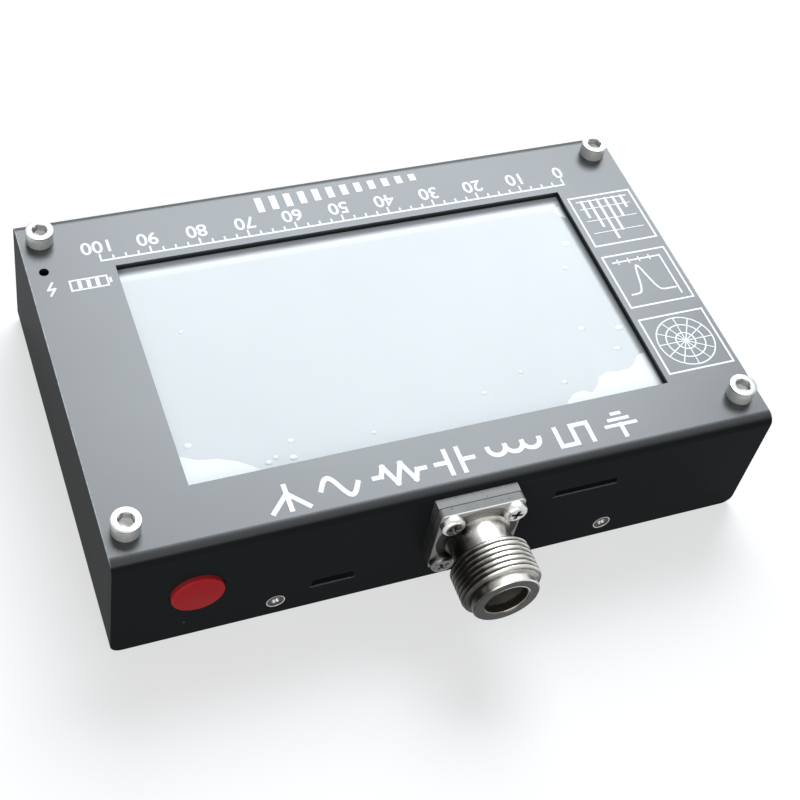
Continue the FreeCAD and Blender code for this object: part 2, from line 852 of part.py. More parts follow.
def switch():
    """Body with a cavity for the stem's head and its spring, and side pins that lie on the board."""
    z = centred(button_z, s.switch_side)
    shell = box(centred(button_x, s.switch_side), (switch_back, switch_front), z)
    room = s.stem_side + 2 * s.switch_wall + 2 * s.stem_gap
    cavity = box(centred(button_x, room), (room_back, room_front), centred(button_z, room))
    opening = s.stem_side + 2 * s.stem_gap
    mouth = box(centred(button_x, opening), (room_front - s.stem_gap, switch_front + s.overcut),
                centred(button_z, opening))
    node(cut(shell, cavity, mouth), "switch_body")
    pins = []
    for out in (-1, 1):
        edge = button_x + out * s.switch_side / 2
        ends = (edge, edge + s.pin_reach) if out > 0 else (edge - s.pin_reach, edge)
        for share in PIN_SHARES:
            place = switch_back + share * s.switch_length
            pins.append(box(ends, centred(place, s.pin_width), (board_top, board_top + s.pin_thick)))
    node(group(*pins), "switch_pins")


def arc_middle(start, corner, end):
    """The middle of the arc that leaves start and reaches end with both tangents through corner."""
    half_chord = (end - start).Length / 2
    cosine = half_chord / (corner - start).Length
    chord_middle = (start + end) / 2
    return chord_middle + (corner - chord_middle) * (cosine / (1 + cosine))


def biarc(start, start_way, end, end_way):
    """Two tangent arcs from one point and direction to another."""
    span = end - start
    both = start_way + end_way
    a = 2 * (1 - start_way.dot(end_way))
    b = span.dot(both)
    reach = (math.sqrt(b * b + a * span.dot(span)) - b) / a
    first, last = start + start_way * reach, end - end_way * reach
    joint = (first + last) / 2
    return [Part.Arc(start, arc_middle(start, first, joint), joint).toShape(),
            Part.Arc(joint, arc_middle(joint, last, end), end).toShape()]


def tube_along(edges, diameter):
    """A round wire swept along tangent edges."""
    path = Part.Wire(edges)
    start = edges[0].valueAt(edges[0].FirstParameter)
    way = edges[0].tangentAt(edges[0].FirstParameter)
    ring = Part.Wire([Part.Circle(start, way, diameter / 2).toShape()])
    sweep = Part.BRepOffsetAPI.MakePipeShell(path)
    sweep.add(ring)
    sweep.build()
    sweep.makeSolid()
    return sweep.shape()


SPRING_TURNS = 5


def switch_spring():
    """Coil spring between the stem's head and the back of the switch."""
    wire = value(s.spring_wire)
    radius = (value(s.spring_diameter) - wire) / 2
    low = value(room_back + s.spring_gap) + wire / 2
    high = value(head_back - s.spring_gap) - wire / 2
    rise = (high - low) / SPRING_TURNS
    slope = rise / (2 * math.pi)

    def point(angle):
        return Vector(radius * math.cos(angle), low + slope * angle, radius * math.sin(angle))

    def way(angle):
        return Vector(-radius * math.sin(angle), slope, radius * math.cos(angle)).normalize()

    edges = []
    for step in range(SPRING_TURNS * 4):
        first, last = step * math.pi / 2, (step + 1) * math.pi / 2
        edges += biarc(point(first), way(first), point(last), way(last))
    print("switch_spring least gap between turns", round(rise - wire, 3))
    coil = doc.addObject("Part::Feature", "switch_spring")
    coil.Shape = tube_along(edges, wire)
    coil.Placement = FreeCAD.Placement(Vector(value(button_x), 0, value(button_z)), FreeCAD.Rotation())
    node(coil, "switch_spring")


# Places of the antenna jack along Y, from the wall outwards.
flange_back = near_y + s.spacer_thick
flange_front = flange_back + s.flange_thick
collar_end = flange_front + s.collar_length
shank_end = collar_end + s.shank_length
thread_end = shank_end + s.thread_length
mouth_y = thread_end + s.ring_length
shoulder_y = mouth_y - s.mouth_depth
spigot_end = near_inside - s.spigot_proud
bead_front = shoulder_y - s.bead_setback
socket_tip = mouth_y - s.socket_setback
tail_end = spigot_end - s.contact_tail_length


jack_places = [(jack_x + across * s.jack_pitch / 2, jack_z + up * s.jack_pitch / 2)
               for across in (-1, 1) for up in (-1, 1)]
GROOVE_SHARE = 0.42


def jack_holes(diameter, start, end):
    return [rod(diameter, "y", start, end, place) for place in jack_places]


def antenna_port_shell():
    """Square flange, plain shank, thread and front ring, bored through."""
    body = new_body("antenna_port_shell")
    profile = sketch_on(body, "YZ_Plane")
    bore, inner = s.mouth_bore / 2, s.inner_bore / 2
    ring, thread = s.ring_diameter / 2, s.thread_diameter / 2
    shank, collar, spigot = s.shank_diameter / 2, s.collar_diameter / 2, s.spigot_diameter / 2
    rim = s.mouth_rim
    throat, throat_y = s.throat_bore / 2, mouth_y - rim - s.mouth_length
    add_outline(profile, [
        (spigot_end, inner), (shoulder_y, inner), (shoulder_y, throat), (throat_y, throat),
        (throat_y, bore), (mouth_y - rim, bore),
        (mouth_y, bore + rim), (mouth_y, ring - rim), (mouth_y - rim, ring), (thread_end, ring),
        (thread_end, thread - s.thread_cut), (thread_end - s.thread_cut, thread),
        (shank_end + s.thread_cut, thread), (shank_end, thread - s.thread_cut), (shank_end, shank),
        (collar_end, shank), (collar_end, collar), (flange_front, collar),
        (flange_back, collar), (flange_back, spigot), (spigot_end, spigot)])
    turned = body.newObject("PartDesign::Revolution", "antenna_port_shell_Revolution")
    turned.Profile = profile
    turned.ReferenceAxis = (profile, ["H_Axis"])
    doc.recompute()
    flange = sketch_on(body, "XZ_Plane", -flange_back)
    half = s.flange_side / 2
    add_rectangle(flange, (-half, half), (-half, half))
    add_circle(flange, s.spigot_diameter, 0.0, 0.0)
    for across in (-1, 1):
        for up in (-1, 1):
            add_circle(flange, s.jack_screw_thread + 2 * s.jack_screw_gap,
                       across * s.jack_pitch / 2, up * s.jack_pitch / 2)
    pad(body, flange, s.flange_thick, Reversed=True)
    corner = value(half)
    fillet(body, s.flange_corner, lambda m, run: close(abs(m.x), corner) and close(abs(m.z), corner)
           and run.YLength > 0.1)
    groove = sketch_on(body, "YZ_Plane")
    root = thread - s.thread_cut
    first = shank_end - s.thread_pitch
    wide, bottom = s.thread_pitch * GROOVE_SHARE, s.thread_root / 2
    above = thread + s.thread_root
    add_outline(groove, [(first - wide, above), (first - bottom, root), (first + bottom, root),
                         (first + wide, above)])
    screw = body.newObject("PartDesign::SubtractiveHelix", "antenna_port_shell_thread")
    screw.Profile = groove
    screw.ReferenceAxis = (groove, ["H_Axis"])
    screw.Mode = "pitch-height-angle"
    bind(screw, "Pitch", s.thread_pitch)
    bind(screw, "Height", s.thread_length + 2 * s.thread_pitch)
    doc.recompute()
    put(body, jack_x, 0.0, jack_z)


def antenna_port_rest():
    """Spacer plate, insulator bead, centre contact and the four flange screws."""
    x, z = centred(jack_x, s.spacer_side), centred(jack_z, s.spacer_side)
    axis = (jack_x, jack_z)
    plate = box(x, (near_y, flange_back), z)
    low, high = near_y - s.overcut, flange_back + s.overcut
    hole = rod(s.spigot_diameter + 2 * s.spigot_gap, "y", low, high, axis)
    small_holes = jack_holes(s.jack_screw_thread + 2 * s.jack_screw_gap, low, high)
    node(cut(plate, hole, *small_holes), "antenna_port_spacer")
    bead = rod(s.inner_bore - 2 * s.contact_fit, "y", spigot_end, bead_front, axis)
    neck_hole = rod(s.contact_neck + 2 * s.contact_fit, "y", spigot_end - s.overcut,
                    bead_front + s.overcut, axis)
    node(cut(bead, neck_hole), "antenna_port_insulator")
    tail = rod(s.contact_tail, "y", tail_end, spigot_end, axis)
    neck = rod(s.contact_neck, "y", spigot_end, bead_front, axis)
    barrel = rod(s.socket_diameter, "y", bead_front, socket_tip, axis)
    slot_back, past_tip = socket_tip - s.socket_slot_depth, socket_tip + s.overcut
    bore = rod(s.socket_bore, "y", slot_back - s.overcut, past_tip, axis)
    slots = []
    for a, b in ((s.socket_slot, 2 * s.socket_diameter), (2 * s.socket_diameter, s.socket_slot)):
        slots.append(box(centred(jack_x, a), (slot_back, past_tip), centred(jack_z, b)))
    node(cut(join(tail, neck, barrel), bore, *slots), "antenna_port_contact")
    screws = []
    top = flange_front + s.jack_screw_head_height
    crown_back = top - s.jack_screw_crown
    for place in jack_places:
        head = rod(s.jack_screw_head, "y", flange_front, crown_back, place)
        crown = rod(s.jack_screw_head, "y", crown_back, top, place,
                    tip=s.jack_screw_head - 2 * s.jack_screw_crown)
        stem = rod(s.jack_screw_thread, "y", flange_front - s.jack_screw_stem, flange_front, place)
        slots = cross_slots("y", top, s.jack_screw_head_height * 0.55, s.jack_screw_head * 0.55,
                            s.jack_screw_head * 0.13, place, 1)
        screws.append(cut(join(head, crown, stem), *slots))
    node(group(*screws), "antenna_port_screws")


SMALL_COLUMNS, SMALL_ROWS = 6, 3


def board_chips():
    """Processor, memory, crystal, shield can with the radio chips under it, and small parts."""
    top = board_top
    place_x, place_y = -s.processor_place, -s.processor_shift
    memory_x = place_x + s.processor_size / 2 + s.chip_gap + s.memory_size / 2
    memory_y = place_y - s.processor_size
    crystal_x = place_x + s.processor_size / 2 + s.chip_gap + s.crystal_length / 2
    crystal_y = memory_y + s.memory_size / 2 + s.crystal_gap + s.crystal_width / 2
    node(box(centred(place_x, s.processor_size), centred(place_y, s.processor_size),
             (top, top + s.processor_thick)), "processor_chip")
    node(box(centred(memory_x, s.memory_size), centred(memory_y, s.memory_size),
             (top, top + s.memory_thick)), "memory_chip")
    node(box(centred(crystal_x, s.crystal_length), centred(crystal_y, s.crystal_width),
             (top, top + s.crystal_height)), "crystal_can")
    shield_y = (near_y - s.shield_setback - s.shield_depth, near_y - s.shield_setback)
    middle_x, middle_y = jack_x + s.shield_shift, near_y - s.shield_setback - s.shield_depth / 2
    shield_x = centred(middle_x, s.shield_width)
    shell = box(shield_x, shield_y, (top, top + s.shield_height))
    room = box(inset(shield_x, s.shield_sheet), inset(shield_y, s.shield_sheet),
               (top - s.overcut, top + s.shield_height - s.shield_sheet))
    node(cut(shell, room), "shield_can")
    chips = []
    for steps, wide in ((-1, s.radio_chip), (0, s.radio_chip_middle), (1, s.radio_chip)):
        chips.append(box(centred(middle_x + steps * s.radio_chip_step, wide), centred(middle_y, wide),
                         (top, top + s.radio_chip_thick)))
    node(group(*chips), "radio_chips")
    parts = []
    for column in range(SMALL_COLUMNS):
        for line in range(SMALL_ROWS):
            x = place_x + (column - (SMALL_COLUMNS - 1) / 2) * s.small_part_step
            y = s.small_part_place + line * s.small_part_row
            parts.append(box(centred(x, s.small_part_length), centred(y, s.small_part_width),
                             (top, top + s.small_part_height)))
    node(group(*parts), "board_parts")


CARD_CONTACTS = 8


def card_socket():
    """Memory card socket on the board's near edge, right behind its slot."""
    x = centred(card_x, s.card_socket_width)
    front = near_inside - s.socket_wall_gap
    y = (front - s.card_socket_depth, front)
    z = (board_top, board_top + s.card_socket_height)
    sheet_thick = s.card_shell_sheet
    shell = box(x, y, z)
    room = box(inset(x, sheet_thick), (y[0] + sheet_thick, y[1] + s.overcut),
               (z[0] - s.overcut, z[1] - sheet_thick))
    node(cut(shell, room), "card_socket_shell")
    gap = s.contact_fit
    inner = inset(x, sheet_thick + gap)
    inner_back = y[0] + sheet_thick + gap
    floor = box(inner, (inner_back, y[1]), (z[0], z[0] + s.card_floor))
    back = box(inner, (inner_back, inner_back + s.card_back), (z[0], z[1] - sheet_thick - gap))
    node(join(floor, back), "card_socket_base")
    strips = []
    start = y[0] + s.card_contact_start
    low = z[0] + s.card_floor
    for count in range(CARD_CONTACTS):
        place = card_x + (count - (CARD_CONTACTS - 1) / 2) * s.card_contact_pitch
        strips.append(box(centred(place, s.card_contact_width), (start, start + s.card_contact_length),
                          (low, low + s.card_contact_thick)))
    node(group(*strips), "card_contacts")


def charger():
    """Charger board on four posts, with its USB socket, chip, coil and battery socket."""
    x = centred(usb_x, s.charger_width)
    y = (charger_near - s.charger_depth, charger_near)
    places = [(a, b) for a in inset(x, s.charger_post_inset) for b in inset(y, s.charger_post_inset)]
    board = box(x, y, (charger_under, charger_top))
    hole = s.charger_screw_thread + 2 * s.charger_screw_gap
    holes = [rod(hole, "z", charger_under - s.overcut, charger_top + s.overcut, place) for place in places]
    node(cut(board, *holes), "charger_board")
    posts, screws = [], []
    for place in places:
        post = rod(s.charger_post_diameter, "z", floor_top, charger_under, place)
        bore = rod(s.charger_screw_thread + 2 * s.thread_gap, "z", floor_top + s.charger_post_floor,
                   charger_under + s.overcut, place)
        posts.append(cut(post, bore))
        head = rod(s.charger_screw_head, "z", charger_top, charger_top + s.charger_screw_head_height, place)
        stem = rod(s.charger_screw_thread, "z", charger_top - s.charger_screw_length, charger_top, place)
        screws.append(join(head, stem))
    node(group(*posts), "charger_standoffs")
    node(group(*screws), "charger_screws")
    front = near_inside - s.socket_wall_gap
    shell_y = (front - s.usb_depth, front)
    shell_x = centred(usb_x, s.usb_width)
    shell_z = (charger_top, charger_top + s.usb_height)
    shell = box(shell_x, shell_y, shell_z)
    room = box(inset(shell_x, s.usb_sheet), (shell_y[0] + s.usb_sheet, shell_y[1] + s.overcut),
               inset(shell_z, s.usb_sheet))
    node(cut(shell, room), "usb_socket_shell")
    gap = s.contact_fit
    inner_x = inset(shell_x, s.usb_sheet + gap)
    back_start, low = shell_y[0] + s.usb_sheet + gap, shell_z[0] + s.usb_sheet + gap
    back = box(inner_x, (back_start, back_start + s.tongue_back), inset(shell_z, s.usb_sheet + gap))
    tongue = box(inset(inner_x, s.tongue_side), (back_start, front - s.tongue_setback),
                 (low, low + s.tongue_thick))
    node(join(back, tongue), "usb_socket_tongue")
    part_y = y[1] - s.charger_part_place
    chip_x = centred(usb_x + s.charger_chip_shift, s.charger_chip_width)
    node(box(chip_x, centred(part_y, s.charger_chip_length),
             (charger_top, charger_top + s.charger_chip_thick)), "charger_chip")
    node(box(centred(usb_x - s.charger_coil_shift, s.charger_coil_side), centred(part_y, s.charger_coil_side),
             (charger_top, charger_top + s.charger_coil_height)), "charger_coil")


# Battery, its plug and the leads.
battery_end = s.base_sheet + s.battery_wall_gap - side_x
battery_x = (battery_end, battery_end + s.battery_length)
battery_y = centred(-s.battery_shift, s.battery_width)
battery_low = floor_top + s.battery_tape
guard_x = (battery_x[1], battery_x[1] + s.guard_length)
guard_y = inset(battery_y, s.battery_edge)
plug_y = charger_near - s.charger_depth + s.battery_socket_place
socket_x = (usb_x - s.charger_width / 2, usb_x - s.charger_width / 2 + s.battery_socket_length)
plug_x = (socket_x[0] - s.plug_length, socket_x[0])
plug_z = charger_top + s.battery_socket_height / 2
lead_z = battery_low + s.guard_thick / 2


def battery():
    """Flat cell on foam tape, with its guard board under wrap at one end."""
    body = new_body("battery_cell")
    outline = sketch_on(body, "XY_Plane", battery_low)
    add_rectangle(outline, battery_x, battery_y)
    pad(body, outline, s.battery_thick)
    fillet(body, s.battery_round, lambda m, run: run.XLength > 10)
    node(box(inset(battery_x, s.battery_edge), guard_y, (floor_top, battery_low)), "battery_tape")
    node(box(guard_x, guard_y, (battery_low, battery_low + s.guard_thick)), "battery_guard_board")
    y = centred(plug_y, s.plug_width + 2 * s.battery_socket_side)
    shell = box(socket_x, y, (charger_top, charger_top + s.battery_socket_height))
    node(shell, "battery_socket")
    node(box(plug_x, centred(plug_y, s.plug_width), (plug_z - s.plug_height / 2, plug_z + s.plug_height / 2)),
         "battery_plug")


ARC_SHARE = 0.45


def rounded_path(points):
    """Straight runs joined by tangent arcs, each as large as its two runs allow."""
    edges, start = [], points[0]
    for before, corner, after in zip(points, points[1:], points[2:]):
        arrive, leave = (corner - before).normalize(), (after - corner).normalize()
        turn = arrive.getAngle(leave)
        reach = ARC_SHARE * min((corner - before).Length, (after - corner).Length)
        print("lead arc radius", round(reach / math.tan(turn / 2), 2))
        first, last = corner - arrive * reach, corner + leave * reach
        edges.append(Part.LineSegment(start, first).toShape())
        edges.append(Part.Arc(first, arc_middle(first, corner, last), last).toShape())
        start = last
    edges.append(Part.LineSegment(start, points[-1]).toShape())
    return edges


def lead_pair(name, routes):
    """Separate wires in one node."""
    tubes = [tube_along(rounded_path(route), value(s.lead_diameter)) for route in routes]
    for tube, route in zip(tubes, routes):
        length = sum(edge.Length for edge in rounded_path(route))
        section = math.pi * value(s.lead_diameter) ** 2 / 4
        print(name, "volume over section times length", round(tube.Volume / (section * length), 4))
    wires = doc.addObject("Part::Feature", name)
    wires.Shape = Part.makeCompound(tubes)
    node(wires, name)


STRAIGHT_SHARE, RISE_SHARE = 0.38, 0.2


def leads():
    """Battery leads to their plug, and the leads from the charger board up to the main board."""
    start_x, end_x = value(guard_x[1]), value(plug_x[0])
    straight = (end_x - start_x) * STRAIGHT_SHARE
    battery_routes, board_routes = [], []
    for side in (-0.5, 0.5):
        shift = side * value(s.lead_pitch)
        y0, y1 = value(guard_y[1] - s.lead_inset), value(plug_y)
        z0, z1 = value(lead_z) + shift, value(plug_z) + shift
        battery_routes.append([
            Vector(start_x, y0, z0), Vector(start_x + straight, y0, z0),
            Vector(end_x - straight, y1, z1), Vector(end_x, y1, z1)])
        x = value(usb_x) + shift
        y = value(charger_near - s.charger_depth + s.lead_up_inset)
        low, high = value(charger_top), value(board_under)
        reach = (high - low) * RISE_SHARE
        board_routes.append([
            Vector(x, y, low), Vector(x, y, low + reach),
            Vector(x, y - value(s.lead_up_swing), (low + high) / 2),
            Vector(x, y, high - reach), Vector(x, y, high)])
    lead_pair("battery_leads", battery_routes)
    lead_pair("board_leads", board_routes)


def charge_light():
    """Small lamp on two legs, right under its hole in the face."""
    x, y = side_x - s.light_inset, corner_ys[0] + s.light_from_corner
    top = face_under - s.light_gap
    low = top - s.light_height
    shoulder = top - s.light_diameter / 2
    barrel = rod(s.light_diameter, "z", low, shoulder, (x, y))
    dome = doc.addObject("Part::Sphere", "Dome")
    bind(dome, "Radius", s.light_diameter / 2)
    put(dome, x, y, shoulder)
    node(join(barrel, dome), "charge_light")
    legs = []
    for out in (-1, 1):
        leg_x = x + out * s.light_leg_pitch / 2
        legs.append(box(centred(leg_x, s.light_leg), centred(y, s.light_leg), (board_top, low)))
    node(group(*legs), "light_legs")


front_cover()
base_pan()
corner_screws()
standoffs()
board_screws()
base_screws()
screen()
ribbons()
main_board()
push_button()
switch()
switch_spring()
antenna_port_shell()
antenna_port_rest()
board_chips()
card_socket()
charger()
battery()
leads()
charge_light()
doc.recompute()

failed = [thing.Label for thing in doc.Objects if {"Invalid", "Error"} & set(thing.State)]
for name, thing in NODES:
    if thing.Shape.isNull() or not thing.Shape.isValid():
        failed.append(name)
if failed:
    raise ValueError(f"these objects failed: {failed}")

os.makedirs("parts", exist_ok=True)
for name, thing in NODES:
    thing.Shape.exportStep(f"parts/{name}.step")
print(len(NODES), "nodes,", sum(len(thing.Shape.Solids) for name, thing in NODES), "solids")
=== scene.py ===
# %% [markdown]
# # A handheld antenna analyzer
# The frame from CAD gives every rigid piece at its real place, in metres. This notebook gives each
# piece its finish, models the small things that CAD left plain, and sets up a soft studio.

# %% The frame
import bmesh
import bpy
import json
import math
from mathutils import Matrix, Vector


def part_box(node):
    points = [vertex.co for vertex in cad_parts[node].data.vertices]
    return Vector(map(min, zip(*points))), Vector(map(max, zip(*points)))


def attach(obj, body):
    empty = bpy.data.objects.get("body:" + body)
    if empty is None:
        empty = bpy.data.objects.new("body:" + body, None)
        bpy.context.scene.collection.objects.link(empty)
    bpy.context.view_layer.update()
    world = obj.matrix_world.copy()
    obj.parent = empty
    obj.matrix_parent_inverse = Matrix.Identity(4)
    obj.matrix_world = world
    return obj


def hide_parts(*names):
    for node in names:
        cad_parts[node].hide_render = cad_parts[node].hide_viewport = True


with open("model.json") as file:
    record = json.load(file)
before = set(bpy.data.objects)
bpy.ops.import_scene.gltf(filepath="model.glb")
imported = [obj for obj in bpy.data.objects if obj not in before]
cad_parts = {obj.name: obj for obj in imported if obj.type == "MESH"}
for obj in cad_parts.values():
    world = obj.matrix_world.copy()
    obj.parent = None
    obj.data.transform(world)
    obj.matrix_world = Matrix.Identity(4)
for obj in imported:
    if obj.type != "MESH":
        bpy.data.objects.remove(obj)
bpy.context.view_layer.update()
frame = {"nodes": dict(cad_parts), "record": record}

# %% [markdown]
# ## Sizes that the pieces share
# A new piece has to sit on the CAD node that carries it. Typing its place again would let the two drift
# apart, so the places come from the nodes' own boxes.

# %% Shared places
MM = 0.001
CASE = "case"
cover_low, cover_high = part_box("front_cover")
FACE = cover_high[2]
END_X = cover_high[0]
NEAR_Y = cover_high[1]
FAR_Y = cover_low[1]
print("case", [round((high - low) / MM, 1) for low, high in zip(cover_low, cover_high)], "mm")

# %% [markdown]
# ## Writing shader maths as plain sums
# A material's pattern is a little sum over places. Adding each Math node by hand hides the sum, so one
# class wraps a socket and gives it Python's operators. An expression then builds its own nodes.


# %% A socket that can be used in sums
class Number:
    """A number that changes over a surface."""

    def __init__(self, finish, socket):
        self.finish = finish
        self.socket = socket

    def maths(self, operation, first, second=None, third=None):
        values = {0: first}
        if second is not None:
            values[1] = second
        if third is not None:
            values[2] = third
        return self.finish.add("ShaderNodeMath", {"operation": operation}, values)

    def __add__(self, other):
        return self.maths("ADD", self, other)

    __radd__ = __add__

    def __sub__(self, other):
        return self.maths("SUBTRACT", self, other)

    def __rsub__(self, other):
        return self.maths("SUBTRACT", other, self)

    def __mul__(self, other):
        return self.maths("MULTIPLY", self, other)

    __rmul__ = __mul__

    def __truediv__(self, other):
        return self.maths("DIVIDE", self, other)

    def __abs__(self):
        return self.maths("ABSOLUTE", self)

    def __pow__(self, other):
        return self.maths("POWER", self, other)

    def above(self, limit, soft):
        """0 below a limit and 1 above it, with a soft step between."""
        ramp = {"interpolation_type": "SMOOTHSTEP"}
        values = {"Value": self, "From Min": limit - soft, "From Max": limit + soft}
        return self.finish.add("ShaderNodeMapRange", ramp, values)

    def below(self, limit, soft):
        return 1 - self.above(limit, soft)


# %% [markdown]
# ## One class for every finish
# Each finish starts from the same three things: the piece's own coordinates, the main shader and the
# output. The class makes those, and one method adds any other node. What stays the same all over a
# surface is set on the shader itself, and only what varies is linked.


# %% The finish class
class Finish:
    """A material with one main shader, and helpers for the patterns that feed it."""

    def __init__(self, name, color, roughness=0.5, **settings):
        self.material = bpy.data.materials.new(name)
        self.material.use_nodes = True
        self.tree = self.material.node_tree
        self.tree.nodes.clear()
        output = self.tree.nodes.new("ShaderNodeOutputMaterial")
        self.shader = self.tree.nodes.new("ShaderNodeBsdfPrincipled")
        self.tree.links.new(self.shader.outputs[0], output.inputs["Surface"])
        self.places = self.add("ShaderNodeTexCoord", output="Object")
        self.set(**{"Base Color": (*color, 1.0), "Roughness": roughness}, **settings)

    def add(self, kind, settings=None, values=None, output=0):
        """Any node: its type, its settings, its inputs' values or links, and the output to use."""
        node = self.tree.nodes.new(kind)
        for name, setting in (settings or {}).items():
            setattr(node, name, setting)
        for key, value in (values or {}).items():
            self.feed(node.inputs[key], value)
        return Number(self, node.outputs[output])

    def feed(self, target, value):
        if isinstance(value, Number):
            self.tree.links.new(value.socket, target)
        else:
            target.default_value = value

    def set(self, **inputs):
        """Values or links of the main shader's inputs."""
        for name, value in inputs.items():
            self.feed(self.shader.inputs[name], value)
        return self

    def axis(self, name):
        """One coordinate of the surface, in metres."""
        return self.add("ShaderNodeSeparateXYZ", values={0: self.places}, output=name)

    def stretched(self, scale):
        return self.add("ShaderNodeMapping", values={"Vector": self.places, "Scale": scale})

    def noise(self, size, detail=3.0, rough=0.55, scale=(1, 1, 1)):
        """Soft noise from 0 to 1, whose marks are about a size in metres across."""
        values = {"Vector": self.stretched(scale), "Scale": 1 / size, "Detail": detail, "Roughness": rough}
        return self.add("ShaderNodeTexNoise", values=values)

    def specks(self, size, radius):
        """Small round dots scattered at random, about a size apart."""
        values = {"Vector": self.places, "Scale": 1 / size, "Randomness": 1.0}
        return self.add("ShaderNodeTexVoronoi", values=values, output="Distance").below(radius, radius * 0.3)

    def blend(self, mask, first, second):
        """A colour between two, by a mask."""
        node = self.tree.nodes.new("ShaderNodeMix")
        node.data_type = "RGBA"
        for place, value in ((0, mask), (6, first), (7, second)):
            self.feed(node.inputs[place], (*value, 1.0) if isinstance(value, tuple) else value)
        return Number(self, node.outputs[2])

    def relief(self, height, depth):
        """Raises and sinks the surface in the light by a height pattern, with a depth in metres."""
        bump = self.add("ShaderNodeBump", values={"Strength": 1.0, "Distance": depth, "Height": height})
        return self.set(Normal=bump)


# %% [markdown]
# ## The case's satin black
# The case is folded sheet with a hard satin black coat. Light from behind turns the flat face grey while
# the walls stay almost black. So the colour is dark, and the face alone has a clear satin lacquer over it,
# as sheet that is screen printed often has. The coat has a fine grain and a few pale specks. Pale lines
# run along the cut ends, partly chipped wear and partly a painted highlight that a chamfer would catch.
# The pale lines under the slots are painted highlights, and the one on the far fold is painted light.

# %% Case finishes
SATIN = (0.0125, 0.0145, 0.0155)
SATIN_PALE = (0.017, 0.0195, 0.0205)
DUST = (0.5, 0.5, 0.5)
# Pale metal for real wear, also used for the cover's painted highlights.
BARE_AND_HIGHLIGHT = (0.42, 0.43, 0.44)
LACQUER_TINT = (0.89, 0.955, 1.0, 1.0)


def case_finish(name, wear_and_highlights):
    """The satin black, with a mask of where it's worn through and where pale highlights are painted on."""
    finish = Finish(name, SATIN, **{"IOR": 1.5, "Specular IOR Level": 0.006, "Coat Roughness": 0.34,
                                    "Coat IOR": 1.59, "Coat Tint": LACQUER_TINT})
    grain = finish.noise(0.35 * MM, detail=2)
    cloud = finish.noise(24 * MM, detail=3)
    dust = finish.specks(5.5 * MM, 0.028) * finish.noise(9 * MM).above(0.52, 0.05)
    worn_and_highlit = wear_and_highlights(finish)
    lacquer = finish.axis("Z").above(FACE - 0.5 * MM, 0.45 * MM)
    color = finish.blend(cloud, SATIN, SATIN_PALE)
    color = finish.blend(dust * 0.5, color, DUST)
    # Pale wear and painted highlights, from the mask above.
    color = finish.blend(worn_and_highlit, color, BARE_AND_HIGHLIGHT)
    finish.set(**{"Base Color": color, "Roughness": 0.33 + grain * 0.06 + cloud * 0.05,
                  "Coat Weight": lacquer * (0.94 + cloud * 0.12)})
    finish.relief(grain, 0.006 * MM)
    return finish


# Each slot's place across and up, then its width and height.
USB_SLOT = (23.85 * MM, 7.7 * MM, 8.4 * MM, 2.3 * MM)
CARD_SLOT = (-27.4 * MM, 19.8 * MM, 13.5 * MM, 1.9 * MM)


def slot_lips(finish):
    """A thin pale line under each slot in the near wall, where its cut edge catches light."""
    lips = 0
    wall = finish.axis("Y").above(NEAR_Y - 0.2 * MM, 0.1 * MM)
    for x, z, wide, tall in (USB_SLOT, CARD_SLOT):
        under = abs(finish.axis("Z") - (z - tall / 2 - 0.04 * MM)).below(0.12 * MM, 0.06 * MM)
        lips = abs(finish.axis("X") - x).below(wide / 2 + 0.3 * MM, 0.4 * MM) * under * wall + lips
    return lips


def cover_wear_and_highlights(finish):
    """Thin pale lines: chipped wear and a painted highlight at the face's cut ends, painted highlights under the
    slots and painted light along the far fold.
    """
    # Partly chipped wear, partly a painted highlight where a chamfer would catch light.
    cut = abs(finish.axis("X")).above(END_X - 0.12 * MM, 0.05 * MM)
    high = finish.axis("Z").above(FACE - 0.5 * MM, 0.4 * MM)
    broken = finish.noise(1.6 * MM, detail=5, rough=0.7).above(0.47, 0.07)
    # Painted light: a pale line along the far fold, over the fold's shade.
    far = finish.axis("Y").below(FAR_Y + 0.75 * MM, 0.35 * MM)
    fold = far * finish.axis("Z").above(FACE - 1.1 * MM, 0.3 * MM)
    return cut * high * broken * 0.5 + slot_lips(finish) * 0.32 + fold * 0.42


def pan_wear(finish):
    """Small pale dings low on the end walls."""
    end = abs(finish.axis("X")).above(END_X - 0.4 * MM, 0.2 * MM)
    low = finish.axis("Z").below(6 * MM, 5 * MM)
    dings = finish.noise(2.2 * MM, detail=6, rough=0.75, scale=(1, 1.6, 0.7)).above(0.665, 0.02)
    return end * low * dings * 0.75


cover_finish = case_finish("case_cover", cover_wear_and_highlights)
pan_finish = case_finish("case_pan", pan_wear)
print("case finishes", cover_finish.material.name, pan_finish.material.name)

# %% [markdown]
# ## Bright metals
# The jack is nickel over brass: bright, a little warm, with fine turning lines round its axis and dirt
# held in the thread's roots. Distance from the jack's axis tells a root from a crest, so one sum places
# the dirt. The metal is bright on top, and a second sum follows how far a point faces up and towards the
# lamp: where it faces away, it is painted dark as painted shade. The mouth's front is painted dark as a
# painted reflection, round a light lip, and the bore inside gets painted shade.

# %% Jack
METAL = {"Metallic": 1.0}
jack_low, jack_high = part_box("antenna_port_shell")
JACK_X = (jack_low[0] + jack_high[0]) / 2
JACK_Z = (jack_low[2] + jack_high[2]) / 2
THREAD_OUT = 7.94 * MM
THREAD_IN = 7.32 * MM
THREAD_START, THREAD_END = 51.8 * MM, 59.2 * MM
FLANGE_Y = 46.1 * MM
LIP_R = 4.75 * MM


def from_jack_axis(finish):
    across, up = finish.axis("X") - JACK_X, finish.axis("Z") - JACK_Z
    return (across * across + up * up) ** 0.5


